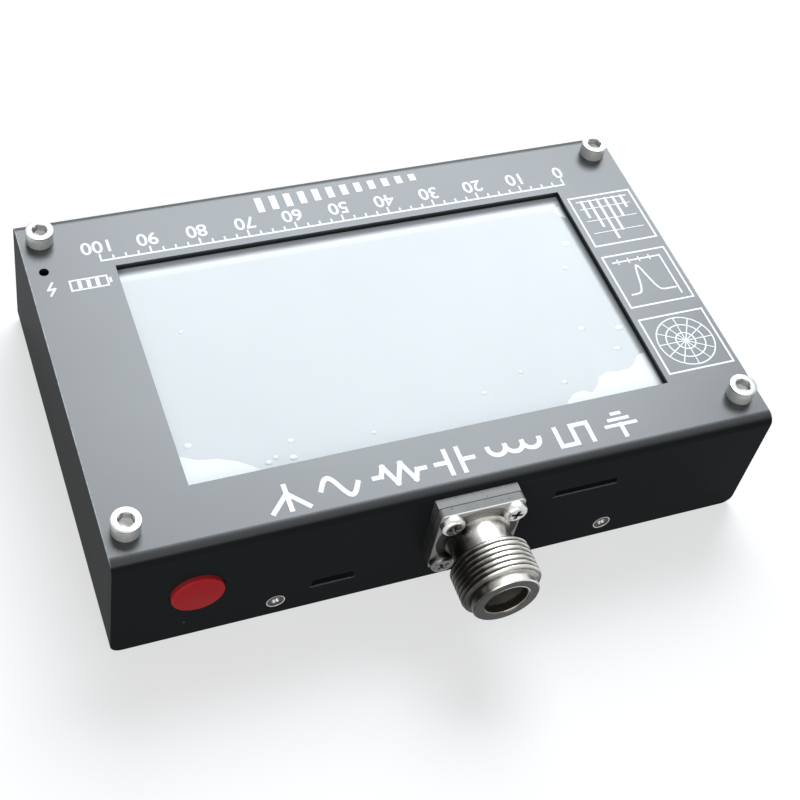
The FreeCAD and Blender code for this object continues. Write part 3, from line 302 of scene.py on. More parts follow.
nickel = Finish("jack_nickel", (0.73, 0.71, 0.67), **METAL)
radius = from_jack_axis(nickel)
along = nickel.axis("Y")
in_thread = along.above(THREAD_START, 0.1 * MM) * along.below(THREAD_END, 0.1 * MM)
root = radius.below((THREAD_IN + THREAD_OUT) / 2, 0.28 * MM) * in_thread
stain = nickel.noise(2.4 * MM, detail=5, rough=0.65)
turned = nickel.noise(0.16 * MM, detail=1, scale=(0.04, 1, 0.04))
dirt = root * (0.55 + stain * 0.5)
tone = nickel.blend(stain.above(0.62, 0.1) * 0.35, (0.76, 0.745, 0.71), (0.5, 0.47, 0.41))
tone = nickel.blend(dirt, tone, (0.09, 0.085, 0.075))
# Painted shade: the metal is darkened where it faces away from the lamp, broken up by the stain noise.
LIT_X, LIT_Z = -0.34, 0.94
upward = ((nickel.axis("Z") - JACK_Z) * LIT_Z + (nickel.axis("X") - JACK_X) * LIT_X) / radius
shaded = (upward + (stain - 0.5) * 0.5).below(0.7, 0.24) * (0.84 + stain * 0.26)
tone = nickel.blend(shaded, tone, (0.045, 0.043, 0.039))
# Painted dark reflection on the mouth's front face, outside the light lip.
mouth_painted_reflection = along.above(jack_high[1] - 0.06 * MM, 0.03 * MM) * radius.above(LIP_R, 0.05 * MM)
tone = nickel.blend(mouth_painted_reflection, tone, (0.032, 0.032, 0.03))
# Painted shade inside the bore.
bore_painted_shade = radius.below(LIP_R - 0.3 * MM, 0.05 * MM) * along.above(FLANGE_Y, 0.05 * MM)
tone = nickel.blend(bore_painted_shade, tone, (0.2, 0.19, 0.17))

# %% [markdown]
# The jack's flange and the plate behind it are dull die-cast zinc, rough and pitted, with a dark seam where
# they meet. They get darker towards the bottom, as painted shade. The shell's own flange shares that finish
# by its place, and has a worn bright line round its front edge.

# %% Flange and plate
SEAM_Y = 44.1 * MM


def dull_zinc(finish):
    """The colour and height of pitted cast metal, with painted shade low down and a dark seam."""
    pits = finish.noise(0.7 * MM, detail=5, rough=0.7)
    blotch = finish.noise(3.2 * MM, detail=4, rough=0.6)
    shade = finish.blend(blotch, (0.112, 0.112, 0.109), (0.17, 0.167, 0.162))
    shade = finish.blend(pits.below(0.36, 0.03), shade, (0.035, 0.035, 0.035))
    # Painted shade: darker towards the bottom, with a blotchy edge.
    low = (finish.axis("Z") - blotch * 4 * MM).below(JACK_Z + 2.5 * MM, 4.5 * MM)
    shade = finish.blend(low * 0.9, shade, (0.012, 0.012, 0.013))
    seam = abs(finish.axis("Y") - SEAM_Y).below(0.1 * MM, 0.05 * MM)
    return finish.blend(seam * blotch.above(0.36, 0.08), shade, (0.015, 0.015, 0.015)), pits


on_flange = along.below(FLANGE_Y + 0.02 * MM, 0.04 * MM)
zinc, pitted = dull_zinc(nickel)
front_edge = abs(along - FLANGE_Y + 0.1 * MM).below(0.16 * MM, 0.06 * MM) * radius.above(8.3 * MM, 0.1 * MM)
zinc = nickel.blend(front_edge * (0.35 + stain * 0.5), zinc, (0.6, 0.59, 0.56))
nickel.set(**{"Base Color": nickel.blend(on_flange, tone, zinc), "Metallic": 1 - on_flange * 0.55,
              "Roughness": 0.23 + stain * 0.12 + dirt * 0.35 + on_flange * 0.3})
nickel.relief(turned * 0.5 + stain * 0.6 + on_flange * pitted * 4, 0.008 * MM)

plate = Finish("plate_metal", (0.24, 0.235, 0.23), **{"Metallic": 0.45})
zinc, pitted = dull_zinc(plate)
plate.set(**{"Base Color": zinc, "Roughness": 0.48 + pitted * 0.12})
plate.relief(pitted, 0.04 * MM)
print("jack and plate finishes", nickel.material.name, plate.material.name)

# %% [markdown]
# The screws are plated steel. The lower flange screws are painted darker, as painted shade like the flange's.
# The corner screws get a darker copy of the steel, as painted shade, so that their tops don't burn out under
# the lamp. Their sides are rougher and paler than their tops, because many small facets there catch the
# light. Oil and dirt fill the sockets and crosses, and the crosses are also painted near black as painted
# shade, so those have finishes of their own.


# %% Screws
def plated_steel(name, color, stained):
    """Bright steel with faint stains. Its colour stays at hand, to be blended further."""
    finish = Finish(name, color, **METAL)
    fine = finish.noise(0.25 * MM, detail=3)
    mottle = finish.noise(1.1 * MM, detail=4)
    finish.tone = finish.blend(mottle.above(0.6, 0.08) * 0.4, color, stained)
    finish.set(**{"Base Color": finish.tone, "Roughness": 0.24 + fine * 0.16})
    return finish.relief(fine, 0.008 * MM)


screw_steel = plated_steel("screw_steel", (0.68, 0.675, 0.66), (0.4, 0.39, 0.37))
# Painted shade on the lower flange screws, broken up by noise.
in_shade = screw_steel.axis("Y").above(FLANGE_Y, 0.1 * MM) * screw_steel.axis("Z").below(JACK_Z, 3 * MM)
in_shade *= 0.5 + screw_steel.noise(1.6 * MM, detail=4, rough=0.7)
screw_steel.set(**{"Base Color": screw_steel.blend(in_shade * 0.8, screw_steel.tone, (0.07, 0.07, 0.068))})
# A darker copy of the screw steel for the corner heads, as painted shade.
head_steel_painted_shade = plated_steel("screw_steel_painted_shade", (0.25, 0.25, 0.245), (0.18, 0.18, 0.175))
HEAD_R, HEAD_TALL = 2.75 * MM, 3.0 * MM
side = head_steel_painted_shade.axis("Z").below(FACE + HEAD_TALL - 0.2 * MM, 0.05 * MM)
worked = head_steel_painted_shade.noise(0.5 * MM, detail=4, rough=0.7)
flank = head_steel_painted_shade.blend(worked, (0.55, 0.55, 0.535), (0.8, 0.8, 0.785))
head_steel_painted_shade.set(**{"Base Color": head_steel_painted_shade.blend(side, head_steel_painted_shade.tone, flank),
                  "Metallic": 1 - side * 0.6, "Roughness": 0.3 + worked * 0.12})


def recess(name, size, clean, dirty, roughness):
    """Steel in the bottom of a socket or cross, with oil and dirt in it."""
    finish = Finish(name, clean, **METAL)
    oily = finish.noise(size, detail=3)
    return finish.set(**{"Base Color": finish.blend(oily, clean, dirty), "Roughness": roughness + oily * 0.2})


recess_steel = recess("screw_recess", 0.5 * MM, (0.55, 0.55, 0.53), (0.4, 0.4, 0.39), 0.35)
# The crosses' near-black steel is painted shade, mottled with oil and dirt.
recess_painted_shade = recess("screw_cross_painted_shade", 0.4 * MM, (0.11, 0.11, 0.105), (0.04, 0.04, 0.04), 0.3)
print("screw finishes", screw_steel.material.name, head_steel_painted_shade.material.name, recess_steel.material.name,
      recess_painted_shade.material.name)

# %% [markdown]
# ## The other finishes
# Each of the other pieces is a plain stock finish: moulded plastic, glass, foam, brass, board and so on.
# A uniform colour never looks real, so each one gets a small variation in colour and gloss, and a fine
# relief at the size that its making leaves.


# %% Stock finishes
def stock(name, color, other, roughness, grain_size, grain_depth, settings):
    """A finish whose colour drifts between two tones, with a fine grain."""
    finish = Finish(name, color, **settings)
    grain = finish.noise(grain_size, detail=3)
    drift = finish.noise(grain_size * 14, detail=2)
    finish.set(**{"Base Color": finish.blend(drift, color, other), "Roughness": roughness + grain * 0.12})
    return finish.relief(grain, grain_depth)


# For each slot: two tones, roughness, the grain's size and depth, and other settings of the shader.
STOCKS = {
    "post_brass": ((0.78, 0.6, 0.32), (0.66, 0.5, 0.26), 0.22, 0.4 * MM, 0.006 * MM, METAL),
    "bead_white": ((0.82, 0.82, 0.79), (0.74, 0.74, 0.7), 0.42, 0.5 * MM, 0.01 * MM, {}),
    "contact_gold": ((0.83, 0.64, 0.28), (0.72, 0.55, 0.24), 0.2, 0.3 * MM, 0.004 * MM, METAL),
    "plastic_white": ((0.78, 0.77, 0.72), (0.7, 0.69, 0.64), 0.4, 0.5 * MM, 0.01 * MM, {}),
    "plastic_black": ((0.022, 0.022, 0.024), (0.032, 0.032, 0.034), 0.42, 0.3 * MM, 0.01 * MM, {}),
    "spring_steel": ((0.62, 0.62, 0.62), (0.5, 0.5, 0.5), 0.25, 0.3 * MM, 0.005 * MM, METAL),
    "tray_steel": ((0.66, 0.66, 0.65), (0.55, 0.55, 0.54), 0.3, 0.6 * MM, 0.008 * MM, METAL),
    "foam_black": ((0.03, 0.03, 0.03), (0.045, 0.045, 0.045), 0.8, 0.35 * MM, 0.06 * MM, {}),
    "ribbon_amber": ((0.55, 0.3, 0.06), (0.45, 0.24, 0.05), 0.3, 0.5 * MM, 0.01 * MM, {}),
    "board_green": ((0.015, 0.13, 0.05), (0.01, 0.1, 0.04), 0.28, 0.7 * MM, 0.012 * MM, {}),
    "light_lens": ((0.3, 0.07, 0.06), (0.25, 0.05, 0.05), 0.1, 0.4 * MM, 0.003 * MM,
                   {"Transmission Weight": 0.4}),
    "battery_wrap": ((0.52, 0.54, 0.58), (0.44, 0.46, 0.5), 0.28, 1.5 * MM, 0.03 * MM, {"Metallic": 0.7}),
    "lead_cover": ((0.4, 0.02, 0.02), (0.32, 0.015, 0.015), 0.38, 0.4 * MM, 0.008 * MM, {}),
    "screen_glass": ((0.42, 0.48, 0.52), (0.4, 0.46, 0.5), 0.06, 3 * MM, 0.002 * MM, {}),
}
stock_finishes = {name: stock(name, *values) for name, values in STOCKS.items()}
print("stock finishes", len(stock_finishes))

# %% [markdown]
# ## The red button
# The cap is moulded red plastic, flat on top. A thin paler ring round its rim is a painted highlight, and
# that ring is a little rougher too. Distance from the button's own axis places that ring.

# %% Button finish
cap_low, cap_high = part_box("button_cap")
BUTTON_X = (cap_low[0] + cap_high[0]) / 2
BUTTON_Z = (cap_low[2] + cap_high[2]) / 2
BUTTON_R = 5.1 * MM

button_red = Finish("button_red", (0.6, 0.012, 0.02), **{"Specular IOR Level": 0.12})
across, up = button_red.axis("X") - BUTTON_X, button_red.axis("Z") - BUTTON_Z
# The rim ring: a painted highlight in the colour, and a little more roughness.
rim = ((across * across + up * up) ** 0.5).above(BUTTON_R - 0.36 * MM, 0.1 * MM)
orange_peel = button_red.noise(0.45 * MM, detail=2)
handled = button_red.noise(3 * MM, detail=4)
tone = button_red.blend(handled, (0.35, 0.004, 0.0085), (0.41, 0.006, 0.012))
button_red.set(**{"Base Color": button_red.blend(rim * 0.3, tone, (0.55, 0.06, 0.06)),
                  "Roughness": 0.42 + handled * 0.14 + rim * 0.1})
button_red.relief(orange_peel, 0.008 * MM)
print("button finish", button_red.material.name)

# %% [markdown]
# ## Giving the CAD nodes their finishes
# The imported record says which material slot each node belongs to. Reading it keeps every node covered,
# also those inside the case. Only the material slots change, never the mesh.

# %% Assign finishes
finishes = {"screw_steel": screw_steel, "jack_nickel": nickel, "plate_metal": plate,
            "button_red": button_red, **stock_finishes}
named_finishes = {"front_cover": cover_finish, "base_pan": pan_finish}
slots = {part["node"]: part["material_slot"] for part in frame["record"]["subparts"]}
for name, thing in frame["nodes"].items():
    finish = named_finishes.get(name) or finishes.get(slots[name]) or stock_finishes["screen_glass"]
    thing.data.materials.clear()
    thing.data.materials.append(finish.material)
print("finished nodes", len(frame["nodes"]))

# %% [markdown]
# ## Helpers for modelling by hand
# Blender's operators act on what is selected, and the frame arrives selected, so every piece starts with
# nothing selected. The helpers add a primitive at its size and place, pick faces by where they lie, and
# put the finished object's origin back to the world's. Each one goes back to object mode when it starts.
# A hair is the small length that tells a face at one height from the next.


# %% Modelling helpers
HAIR = 0.01 * MM


def clear_selection():
    """Object mode, with nothing selected."""
    if bpy.context.object and bpy.context.object.mode != "OBJECT":
        bpy.ops.object.mode_set(mode="OBJECT")
    bpy.ops.object.select_all(action="DESELECT")


def only(thing):
    """Object mode, with one thing selected."""
    clear_selection()
    thing.select_set(True)
    bpy.context.view_layer.objects.active = thing
    return thing


def rod(radius, low, high, sides=48, place=(0, 0), name="rod"):
    """An upright round bar between two heights."""
    clear_selection()
    bpy.ops.mesh.primitive_cylinder_add(vertices=sides, radius=radius, depth=high - low,
                                        location=(*place, (low + high) / 2))
    bpy.context.object.name = name
    bpy.ops.object.transform_apply(location=True, rotation=True, scale=True)
    return bpy.context.object


def pick(thing, kind, test):
    """In edit mode, selects only the faces, edges or vertices whose middle passes a test."""
    only(thing)
    bpy.ops.object.mode_set(mode="EDIT")
    bpy.ops.mesh.select_mode(type=kind)
    bpy.ops.mesh.select_all(action="DESELECT")
    mesh = bmesh.from_edit_mesh(thing.data)
    parts = {"FACE": mesh.faces, "EDGE": mesh.edges, "VERT": mesh.verts}[kind]
    for part in parts:
        if kind == "VERT":
            middle = part.co
        elif kind == "EDGE":
            middle = (part.verts[0].co + part.verts[1].co) / 2
        else:
            middle = part.calc_center_median()
        if test(middle):
            part.select_set(True)
    mesh.select_flush_mode()
    bmesh.update_edit_mesh(thing.data)


def done(thing, name, finish, body=CASE, smooth=30):
    """Ends a piece: smooth shading, origin at the world's, finish, slot and the body that it rides on."""
    only(thing)
    bpy.ops.object.transform_apply(location=True, rotation=True, scale=True)
    if smooth:
        bpy.ops.object.shade_smooth_by_angle(angle=math.radians(smooth))
    thing.name = name
    thing.data.materials.clear()
    thing.data.materials.append(finish.material)
    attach(thing, body)
    print(name, "faces", len(thing.data.polygons))
    return thing


def subtract(thing, tool):
    """Cuts one closed shape out of another."""
    only(thing)
    cutting = thing.modifiers.new("cut", "BOOLEAN")
    cutting.operation = "DIFFERENCE"
    cutting.solver = "EXACT"
    cutting.object = tool
    bpy.ops.object.modifier_apply(modifier=cutting.name)
    bpy.data.objects.remove(tool, do_unlink=True)
    return thing


def round_edges(thing, width, steps, angle):
    """Rounds each edge that turns by more than an angle in degrees."""
    only(thing)
    bevel = thing.modifiers.new("round", "BEVEL")
    bevel.width, bevel.segments = width, steps
    bevel.limit_method, bevel.angle_limit = "ANGLE", math.radians(angle)
    bpy.ops.object.modifier_apply(modifier=bevel.name)
    return thing


def thicken(thing, thickness):
    """Gives a sheet its thickness, downwards."""
    only(thing)
    thick = thing.modifiers.new("thick", "SOLIDIFY")
    thick.thickness, thick.offset = thickness, -1
    bpy.ops.object.modifier_apply(modifier=thick.name)


def merged(things):
    """Joins several objects into the first of them."""
    clear_selection()
    for thing in things:
        thing.select_set(True)
    bpy.context.view_layer.objects.active = things[0]
    bpy.ops.object.join()
    return bpy.context.object


def second_finish(thing, finish, test):
    """Gives the faces whose middle passes a test a finish of their own."""
    thing.data.materials.append(finish.material)
    for face in thing.data.polygons:
        if test(face.center):
            face.material_index = 1


def copies(pattern, moves):
    """A copy of a shape for each move, each with its own mesh, joined into one object."""
    made = []
    for move in moves:
        twin = pattern.copy()
        twin.data = pattern.data.copy()
        twin.data.transform(move)
        bpy.context.collection.objects.link(twin)
        made.append(twin)
    bpy.data.objects.remove(pattern, do_unlink=True)
    return merged(made)


# %% [markdown]
# ## Corner screws
# Four socket-head screws stand on the face. A plain cylinder wouldn't do: the head's top edge is
# rounded, and its hexagon socket has a sloped mouth and a cone at the bottom that reads as a dark
# crescent. The hexagon is cut with a tool of its own shape, and the edges are bevelled after the cut.

# %% Model a socket-head screw
HEAD_TOP = FACE + HEAD_TALL
HEAD_EDGE = 0.16 * MM
KEY_R = 2.8 * MM / math.sqrt(3)
KEY_DEEP, KEY_CONE, CONE_TIP = 1.6 * MM, 0.45 * MM, 0.12
MOUTH_R, MOUTH_DEEP = KEY_R * 1.16, 0.16 * MM
STEM_R, STEM_LONG = 1.5 * MM, 6.0 * MM
CORNERS = [(x * 62.7 * MM, y * MM) for y in (-36.4, 34.7) for x in (-1, 1)]
CORNER_TURNS = (0.3, 1.1, 0.7, 0.15)

head = rod(HEAD_R, FACE, HEAD_TOP, 64)
pick(head, "FACE", lambda middle: middle.z > HEAD_TOP - HAIR)
bpy.ops.mesh.inset(thickness=0.75 * MM)
key = rod(KEY_R, HEAD_TOP - KEY_DEEP, HEAD_TOP + 1 * MM, 6, name="key")
pick(key, "FACE", lambda middle: middle.z < HEAD_TOP - KEY_DEEP + HAIR)
bpy.ops.mesh.extrude_region_move(TRANSFORM_OT_translate={"value": (0, 0, -KEY_CONE)})
bpy.ops.transform.resize(value=(CONE_TIP, CONE_TIP, 1))
subtract(head, key)
mouth = rod(MOUTH_R, HEAD_TOP - MOUTH_DEEP, HEAD_TOP + 0.5 * MM, 40, name="mouth")
pick(mouth, "FACE", lambda middle: middle.z < HEAD_TOP - MOUTH_DEEP + HAIR)
bpy.ops.transform.resize(value=(0.8, 0.8, 1))
subtract(head, mouth)
round_edges(head, HEAD_EDGE, 3, 50)
stem = rod(STEM_R, FACE - STEM_LONG, FACE, 32, name="stem")
screw = merged([head, stem])
corner_heads = copies(screw, [Matrix.Translation((x, y, 0)) @ Matrix.Rotation(turn, 4, "Z")
                              for (x, y), turn in zip(CORNERS, CORNER_TURNS)])
done(corner_heads, "corner_screw_set", head_steel_painted_shade, smooth=35)
second_finish(corner_heads, recess_steel, lambda middle: (
    FACE + 0.5 * MM < middle.z < HEAD_TOP - 0.2 * MM
    and min(math.hypot(middle.x - x, middle.y - y) for x, y in CORNERS) < KEY_R * 1.05))
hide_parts("corner_screws")

# %% [markdown]
# ## The button's cap
# The cap's flat top meets its side in a small round edge that catches a line of light. A cylinder with
# its edges bevelled in a few steps gives that edge. A square socket at the back takes the switch's plunger,
# and a lip behind the wall keeps the cap in. The whole cap moves with the button's own body.

# %% Model the cap
EDGE = 0.3 * MM
LIP_OUT, LIP_FRONT, LIP_THICK = 0.7 * MM, 1.6 * MM, 0.8 * MM
plunger_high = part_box("switch_plunger")[1]
STEM_SIDE = 3.0 * MM
OVERCUT = 1 * MM
cap = rod(BUTTON_R, cap_low[1], cap_high[1], 72)
round_edges(cap, EDGE, 5, 60)
socket = rod(STEM_SIDE / math.sqrt(2), cap_low[1] - OVERCUT, plunger_high[1], 4, name="socket")
socket.data.transform(Matrix.Rotation(math.radians(45), 4, "Z"))
subtract(cap, socket)
lip_top = NEAR_Y - LIP_FRONT
lip = rod(BUTTON_R + LIP_OUT, lip_top - LIP_THICK, lip_top, 72, name="lip")
hollow = rod(BUTTON_R - 0.2 * MM, lip_top - LIP_THICK - OVERCUT, lip_top + OVERCUT, 72, name="hollow")
subtract(lip, hollow)
cap = merged([cap, lip])
cap.data.transform(Matrix.Translation((BUTTON_X, 0, BUTTON_Z)) @ Matrix.Rotation(math.radians(-90), 4, "X"))
done(cap, "power_cap", button_red, body="power_button", smooth=40)
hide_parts("button_cap")

# %% [markdown]
# ## Cross-recess screws
# The jack's flange has four pan heads and each long wall has two countersunk ones. Their recess tapers
# towards its bottom. The cutting tool is a cross of two bars, narrowed at its tip. The pan head's crown is
# a wide bevel on a short cylinder, and the countersunk head has a shallow dish inside a bright rim.


# %% Cross-recess screw shapes
DISH = 0.14 * MM


def cross_tool(top, deep, span, wide):
    """A tapered cross that points down from a height."""
    bars, above = [], 0.5 * MM
    for turn in (0, math.pi / 2):
        clear_selection()
        bpy.ops.mesh.primitive_cube_add(size=1, location=(0, 0, top - deep / 2 + above / 2))
        bar = bpy.context.object
        bar.scale = (span, wide, deep + above)
        bar.rotation_euler = (0, 0, turn)
        bpy.ops.object.transform_apply(location=True, rotation=True, scale=True)
        pick(bar, "FACE", lambda middle: middle.z < top - deep + HAIR)
        bpy.ops.transform.resize(value=(0.35, 0.75, 1) if turn == 0 else (0.75, 0.35, 1))
        bars.append(bar)
    return bars


def cross_screw(head_r, head_tall, crown, stem_r, stem_long, deep, sunk):
    """A screw that points down, with its seat at height 0. A sunk one has its top there."""
    low, high = (-head_tall, 0) if sunk else (0, head_tall)
    head = rod(head_r, low, high, 48)
    if sunk:
        pick(head, "FACE", lambda middle: middle.z < low + HAIR)
        bpy.ops.transform.resize(value=(stem_r / head_r, stem_r / head_r, 1))
        pick(head, "FACE", lambda middle: middle.z > high - HAIR)
        bpy.ops.mesh.inset(thickness=0.2 * MM)
        bpy.ops.mesh.inset(thickness=0.12 * MM, depth=-DISH)
    else:
        pick(head, "EDGE", lambda middle: middle.z > high - HAIR)
        bpy.ops.mesh.bevel(offset=crown, segments=5, profile=0.5)
    for bar in cross_tool(high, deep, head_r * 1.4, head_r * 0.36):
        subtract(head, bar)
    round_edges(head, 0.05 * MM, 2, 40)
    stem = rod(stem_r, low - stem_long, low, 24, name="stem")
    return merged([head, stem])


def placed(screw, spots, first_turn, next_turn):
    """A copy at each spot, facing the near side (1) or the far side (-1), each turned a bit further."""
    moves = []
    for index, (x, y, z, out) in enumerate(spots):
        facing = Matrix.Rotation(math.radians(-90 * out), 4, "X")
        twist = Matrix.Rotation(first_turn + index * next_turn, 4, "Z")
        moves.append(Matrix.Translation((x, y, z)) @ facing @ twist)
    return copies(screw, moves)


# %% Model the flange screws
SIDES = (-1, 1)
PITCH = 6.35 * MM
PAN_TALL = 1.7 * MM
flange_screw = cross_screw(2.35 * MM, PAN_TALL, 0.75 * MM, 1.25 * MM, 6.2 * MM, 1.0 * MM, False)
flange_spots = [(JACK_X + a * PITCH, FLANGE_Y, JACK_Z + b * PITCH, 1) for a in SIDES for b in SIDES]
flange_heads = placed(flange_screw, flange_spots, 0.4, 0.9)
done(flange_heads, "flange_screw_set", screw_steel)
second_finish(flange_heads, recess_painted_shade, lambda middle: (
    FLANGE_Y + 0.5 * MM < middle.y < FLANGE_Y + PAN_TALL - 0.12 * MM
    and min(math.hypot(middle.x - x, middle.z - z) for x, y, z, out in flange_spots) < 1.6 * MM))
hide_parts("antenna_port_screws")

# %% Model the side screws
SIDE_X, SIDE_Z = 35 * MM, 4.3 * MM
side_screw = cross_screw(1.9 * MM, 0.9 * MM, 0, 1.0 * MM, 3.1 * MM, 0.62 * MM, True)
side_spots = [(a * SIDE_X, out * NEAR_Y, SIDE_Z, out) for a in SIDES for out in SIDES]
side_heads = placed(side_screw, side_spots, 0.5, 0.7)
done(side_heads, "side_screw_set", screw_steel)
second_finish(side_heads, recess_painted_shade, lambda middle: (
    0.05 * MM < NEAR_Y - abs(middle.y) < DISH + 0.03 * MM
    and math.hypot(abs(middle.x) - SIDE_X, middle.z - SIDE_Z) < 1.7 * MM))
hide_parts("base_screws")

# %% [markdown]
# ## The screen's film
# The display wears a clear film that has lifted in places. Under it, the unlit screen looks pale and
# slightly blue. It's paler still in a strip along the far side, because the lamp's shadow of the window's
# edge lies there and the photograph shows almost none of it.

# %% Film finish
film_low, film_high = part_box("screen_film")
FILM_TOP = film_high[2]
PALE = (0.37, 0.385, 0.39)

film = Finish("film_clear", PALE, **{"IOR": 1.47})
haze = film.noise(30 * MM, detail=3)
smear = film.noise(5 * MM, detail=5, rough=0.65, scale=(1, 0.5, 1))
tone = film.blend(haze, PALE, (0.41, 0.425, 0.43))
far_side = film.axis("Y").below(film_low[1] + 3.0 * MM, 1.8 * MM)
film.set(**{"Base Color": film.blend(far_side, tone, (0.84, 0.86, 0.88)),
            "Roughness": 0.16 + smear * 0.14})
film.relief(smear, 0.004 * MM)

lifted = Finish("film_lifted", (0.72, 0.73, 0.73), **{"IOR": 1.47})
crinkle = lifted.noise(1.5 * MM, detail=4)
lifted.set(**{"Base Color": lifted.blend(crinkle, (0.66, 0.67, 0.67), (0.76, 0.77, 0.77)),
              "Roughness": 0.3 + crinkle * 0.2})
lifted.relief(crinkle, 0.02 * MM)

print("film finishes", film.material.name, lifted.material.name)

# %% [markdown]
# A flat sheet would look dead, so the film is a fine grid whose points rise a hundredth of a millimetre or
# so in soft swells, with a thickness from Solidify.

# %% Model the film
SWELL_TALL = 0.012 * MM
film_middle = [(low + high) / 2 for low, high in zip(film_low[:2], film_high[:2])]
clear_selection()
bpy.ops.mesh.primitive_grid_add(x_subdivisions=120, y_subdivisions=70, size=1, location=(*film_middle, 0))
sheet = bpy.context.object
sheet.scale = (film_high[0] - film_low[0], film_high[1] - film_low[1], 1)
bpy.ops.object.transform_apply(location=True, rotation=True, scale=True)
for point in sheet.data.vertices:
    swell = math.sin(point.co.x * 96 + 1.3) * math.sin(point.co.y * 121 + 0.4)
    swell += 0.5 * math.sin(point.co.x * 231 + point.co.y * 143)
    point.co.z = FILM_TOP - 0.03 * MM + SWELL_TALL * swell
thicken(sheet, 0.1 * MM)
done(sheet, "film_sheet", film, smooth=40)
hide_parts("screen_film")

# %% [markdown]
# Trapped bubbles are small flattened domes on top of the film. Each row gives a bubble's place and width.

# %% Model the bubbles
BUBBLES = [
    (-46.1, -13.0, 0.7), (-42.9, -6.5, 0.5), (-39.2, 9.9, 0.55), (-47.2, 11.5, 0.6), (-44.4, 16.5, 0.5),
    (-29.8, 22.0, 0.45), (-12.7, 20.7, 0.4), (28.0, 22.3, 0.5), (47.0, 18.8, 0.55), (28.7, 26.1, 0.55),
    (31.9, 25.3, 0.4), (33.5, 26.1, 0.45), (12.0, 24.4, 0.35), (-22.0, 17.5, 0.35), (41.0, -8.0, 0.35)]
BUBBLE_TALL = 0.13 * MM
clear_selection()
bpy.ops.mesh.primitive_uv_sphere_add(segments=20, ring_count=12, radius=1, location=(0, 0, 0))
dome = bpy.context.object
pick(dome, "VERT", lambda place: place.z < -0.01)
bpy.ops.mesh.delete(type="VERT")
bpy.ops.object.mode_set(mode="OBJECT")
dome_moves = [Matrix.Translation((x * MM, y * MM, FILM_TOP - 0.045 * MM))
              @ Matrix.Diagonal((wide * 1.5 * MM, wide * 1.2 * MM, BUBBLE_TALL, 1)) for x, y, wide in BUBBLES]
done(copies(dome, dome_moves), "film_bubbles", lifted, smooth=60)

# %% [markdown]
# The film has come off at three corners. Each lifted patch is a thin sheet of its own, whiter than the
# rest, with its outline in millimetres.

# %% Model the lifted patches
PATCHES = {
    "film_lift_near_left": [
        (49.4, 20.6), (46.0, 22.4), (42.5, 23.0), (39.0, 24.4), (36.0, 26.6), (34.2, 28.3), (49.4, 28.3)],
    "film_lift_near_right": [
        (-49.3, 18.9), (-47.6, 19.2), (-46.0, 21.0), (-44.6, 22.0), (-41.8, 22.1), (-39.2, 21.7), (-37.2, 22.6),
        (-36.0, 24.4), (-34.2, 25.8), (-32.6, 24.9), (-30.4, 25.2), (-28.4, 26.6), (-27.4, 28.3), (-49.3, 28.3)],
    "film_lift_far_right": [(-49.3, -23.9), (-47.9, -23.6), (-47.3, -22.4), (-48.0, -20.9), (-49.3, -20.2)],
}
for name, outline in PATCHES.items():
    clear_selection()
    bpy.ops.mesh.primitive_circle_add(vertices=len(outline), radius=1, fill_type="NGON", location=(0, 0, 0))
    patch = bpy.context.object
    for point, (x, y) in zip(patch.data.vertices, outline):
        point.co = (x * MM, y * MM, FILM_TOP + 0.01 * MM)
    pick(patch, "EDGE", lambda middle: True)
    bpy.ops.mesh.subdivide(number_cuts=3, smoothness=0)
    bpy.ops.mesh.select_all(action="SELECT")
    bpy.ops.mesh.quads_convert_to_tris()
    bpy.ops.mesh.normals_make_consistent(inside=False)
    bpy.ops.object.mode_set(mode="OBJECT")
    if patch.data.polygons[0].normal.z < 0:
        pick(patch, "FACE", lambda middle: True)
        bpy.ops.mesh.flip_normals()
    thicken(patch, 0.03 * MM)
    done(patch, name, lifted, smooth=40)

# %% [markdown]
# ## The white print
# The face is screen printed in white. The marks here are plain ones: a ruled scale with numbers, a row
# of circuit symbols, a charge sign by the lamp hole and three framed charts. Each mark is a set of
# strokes. A stroke is a chain of thin flat boxes, one for each run between two points. Each box is half its
# width longer at both ends, so that the chain closes at its bends. Boxes that cross have slightly
# different heights, because two faces at one height would flicker. All places are in millimetres.

# %% Print finish
ink = Finish("print_white", (0.8, 0.81, 0.82))
patchy = ink.noise(0.5 * MM, detail=4)
ink.set(**{"Base Color": ink.blend(patchy, (0.76, 0.77, 0.78), (0.86, 0.87, 0.88)),
           "Roughness": 0.45 + patchy * 0.15})
ink.relief(patchy, 0.005 * MM)
print("print finish", ink.material.name)

# %% Stroke helpers
INK = 0.03 * MM
LEVELS, LEVEL_STEP = 53, 0.0004 * MM
strokes = []


def stroke(points, wide, closed=False):
    """A printed line through points in millimetres on the face."""
    count = len(points)
    steps = range(count if closed else count - 1)
    for step in steps:
        (x0, y0), (x1, y1) = points[step], points[(step + 1) % count]
        long = math.hypot(x1 - x0, y1 - y0) + wide
        turn = math.atan2(y1 - y0, x1 - x0)
        corners = []
        for a, b in ((-0.5, -0.5), (0.5, -0.5), (0.5, 0.5), (-0.5, 0.5)):
            u, v = a * long, b * wide
            corners.append(((x0 + x1) / 2 + u * math.cos(turn) - v * math.sin(turn),
                            (y0 + y1) / 2 + u * math.sin(turn) + v * math.cos(turn)))
        strokes.append(corners)


def arc(x, y, r, start, end, wide, steps):
    """A printed arc round a centre, by its angles in degrees."""
    angles = [math.radians(start + (end - start) * i / steps) for i in range(steps + 1)]
    stroke([(x + r * math.cos(a), y + r * math.sin(a)) for a in angles], wide)


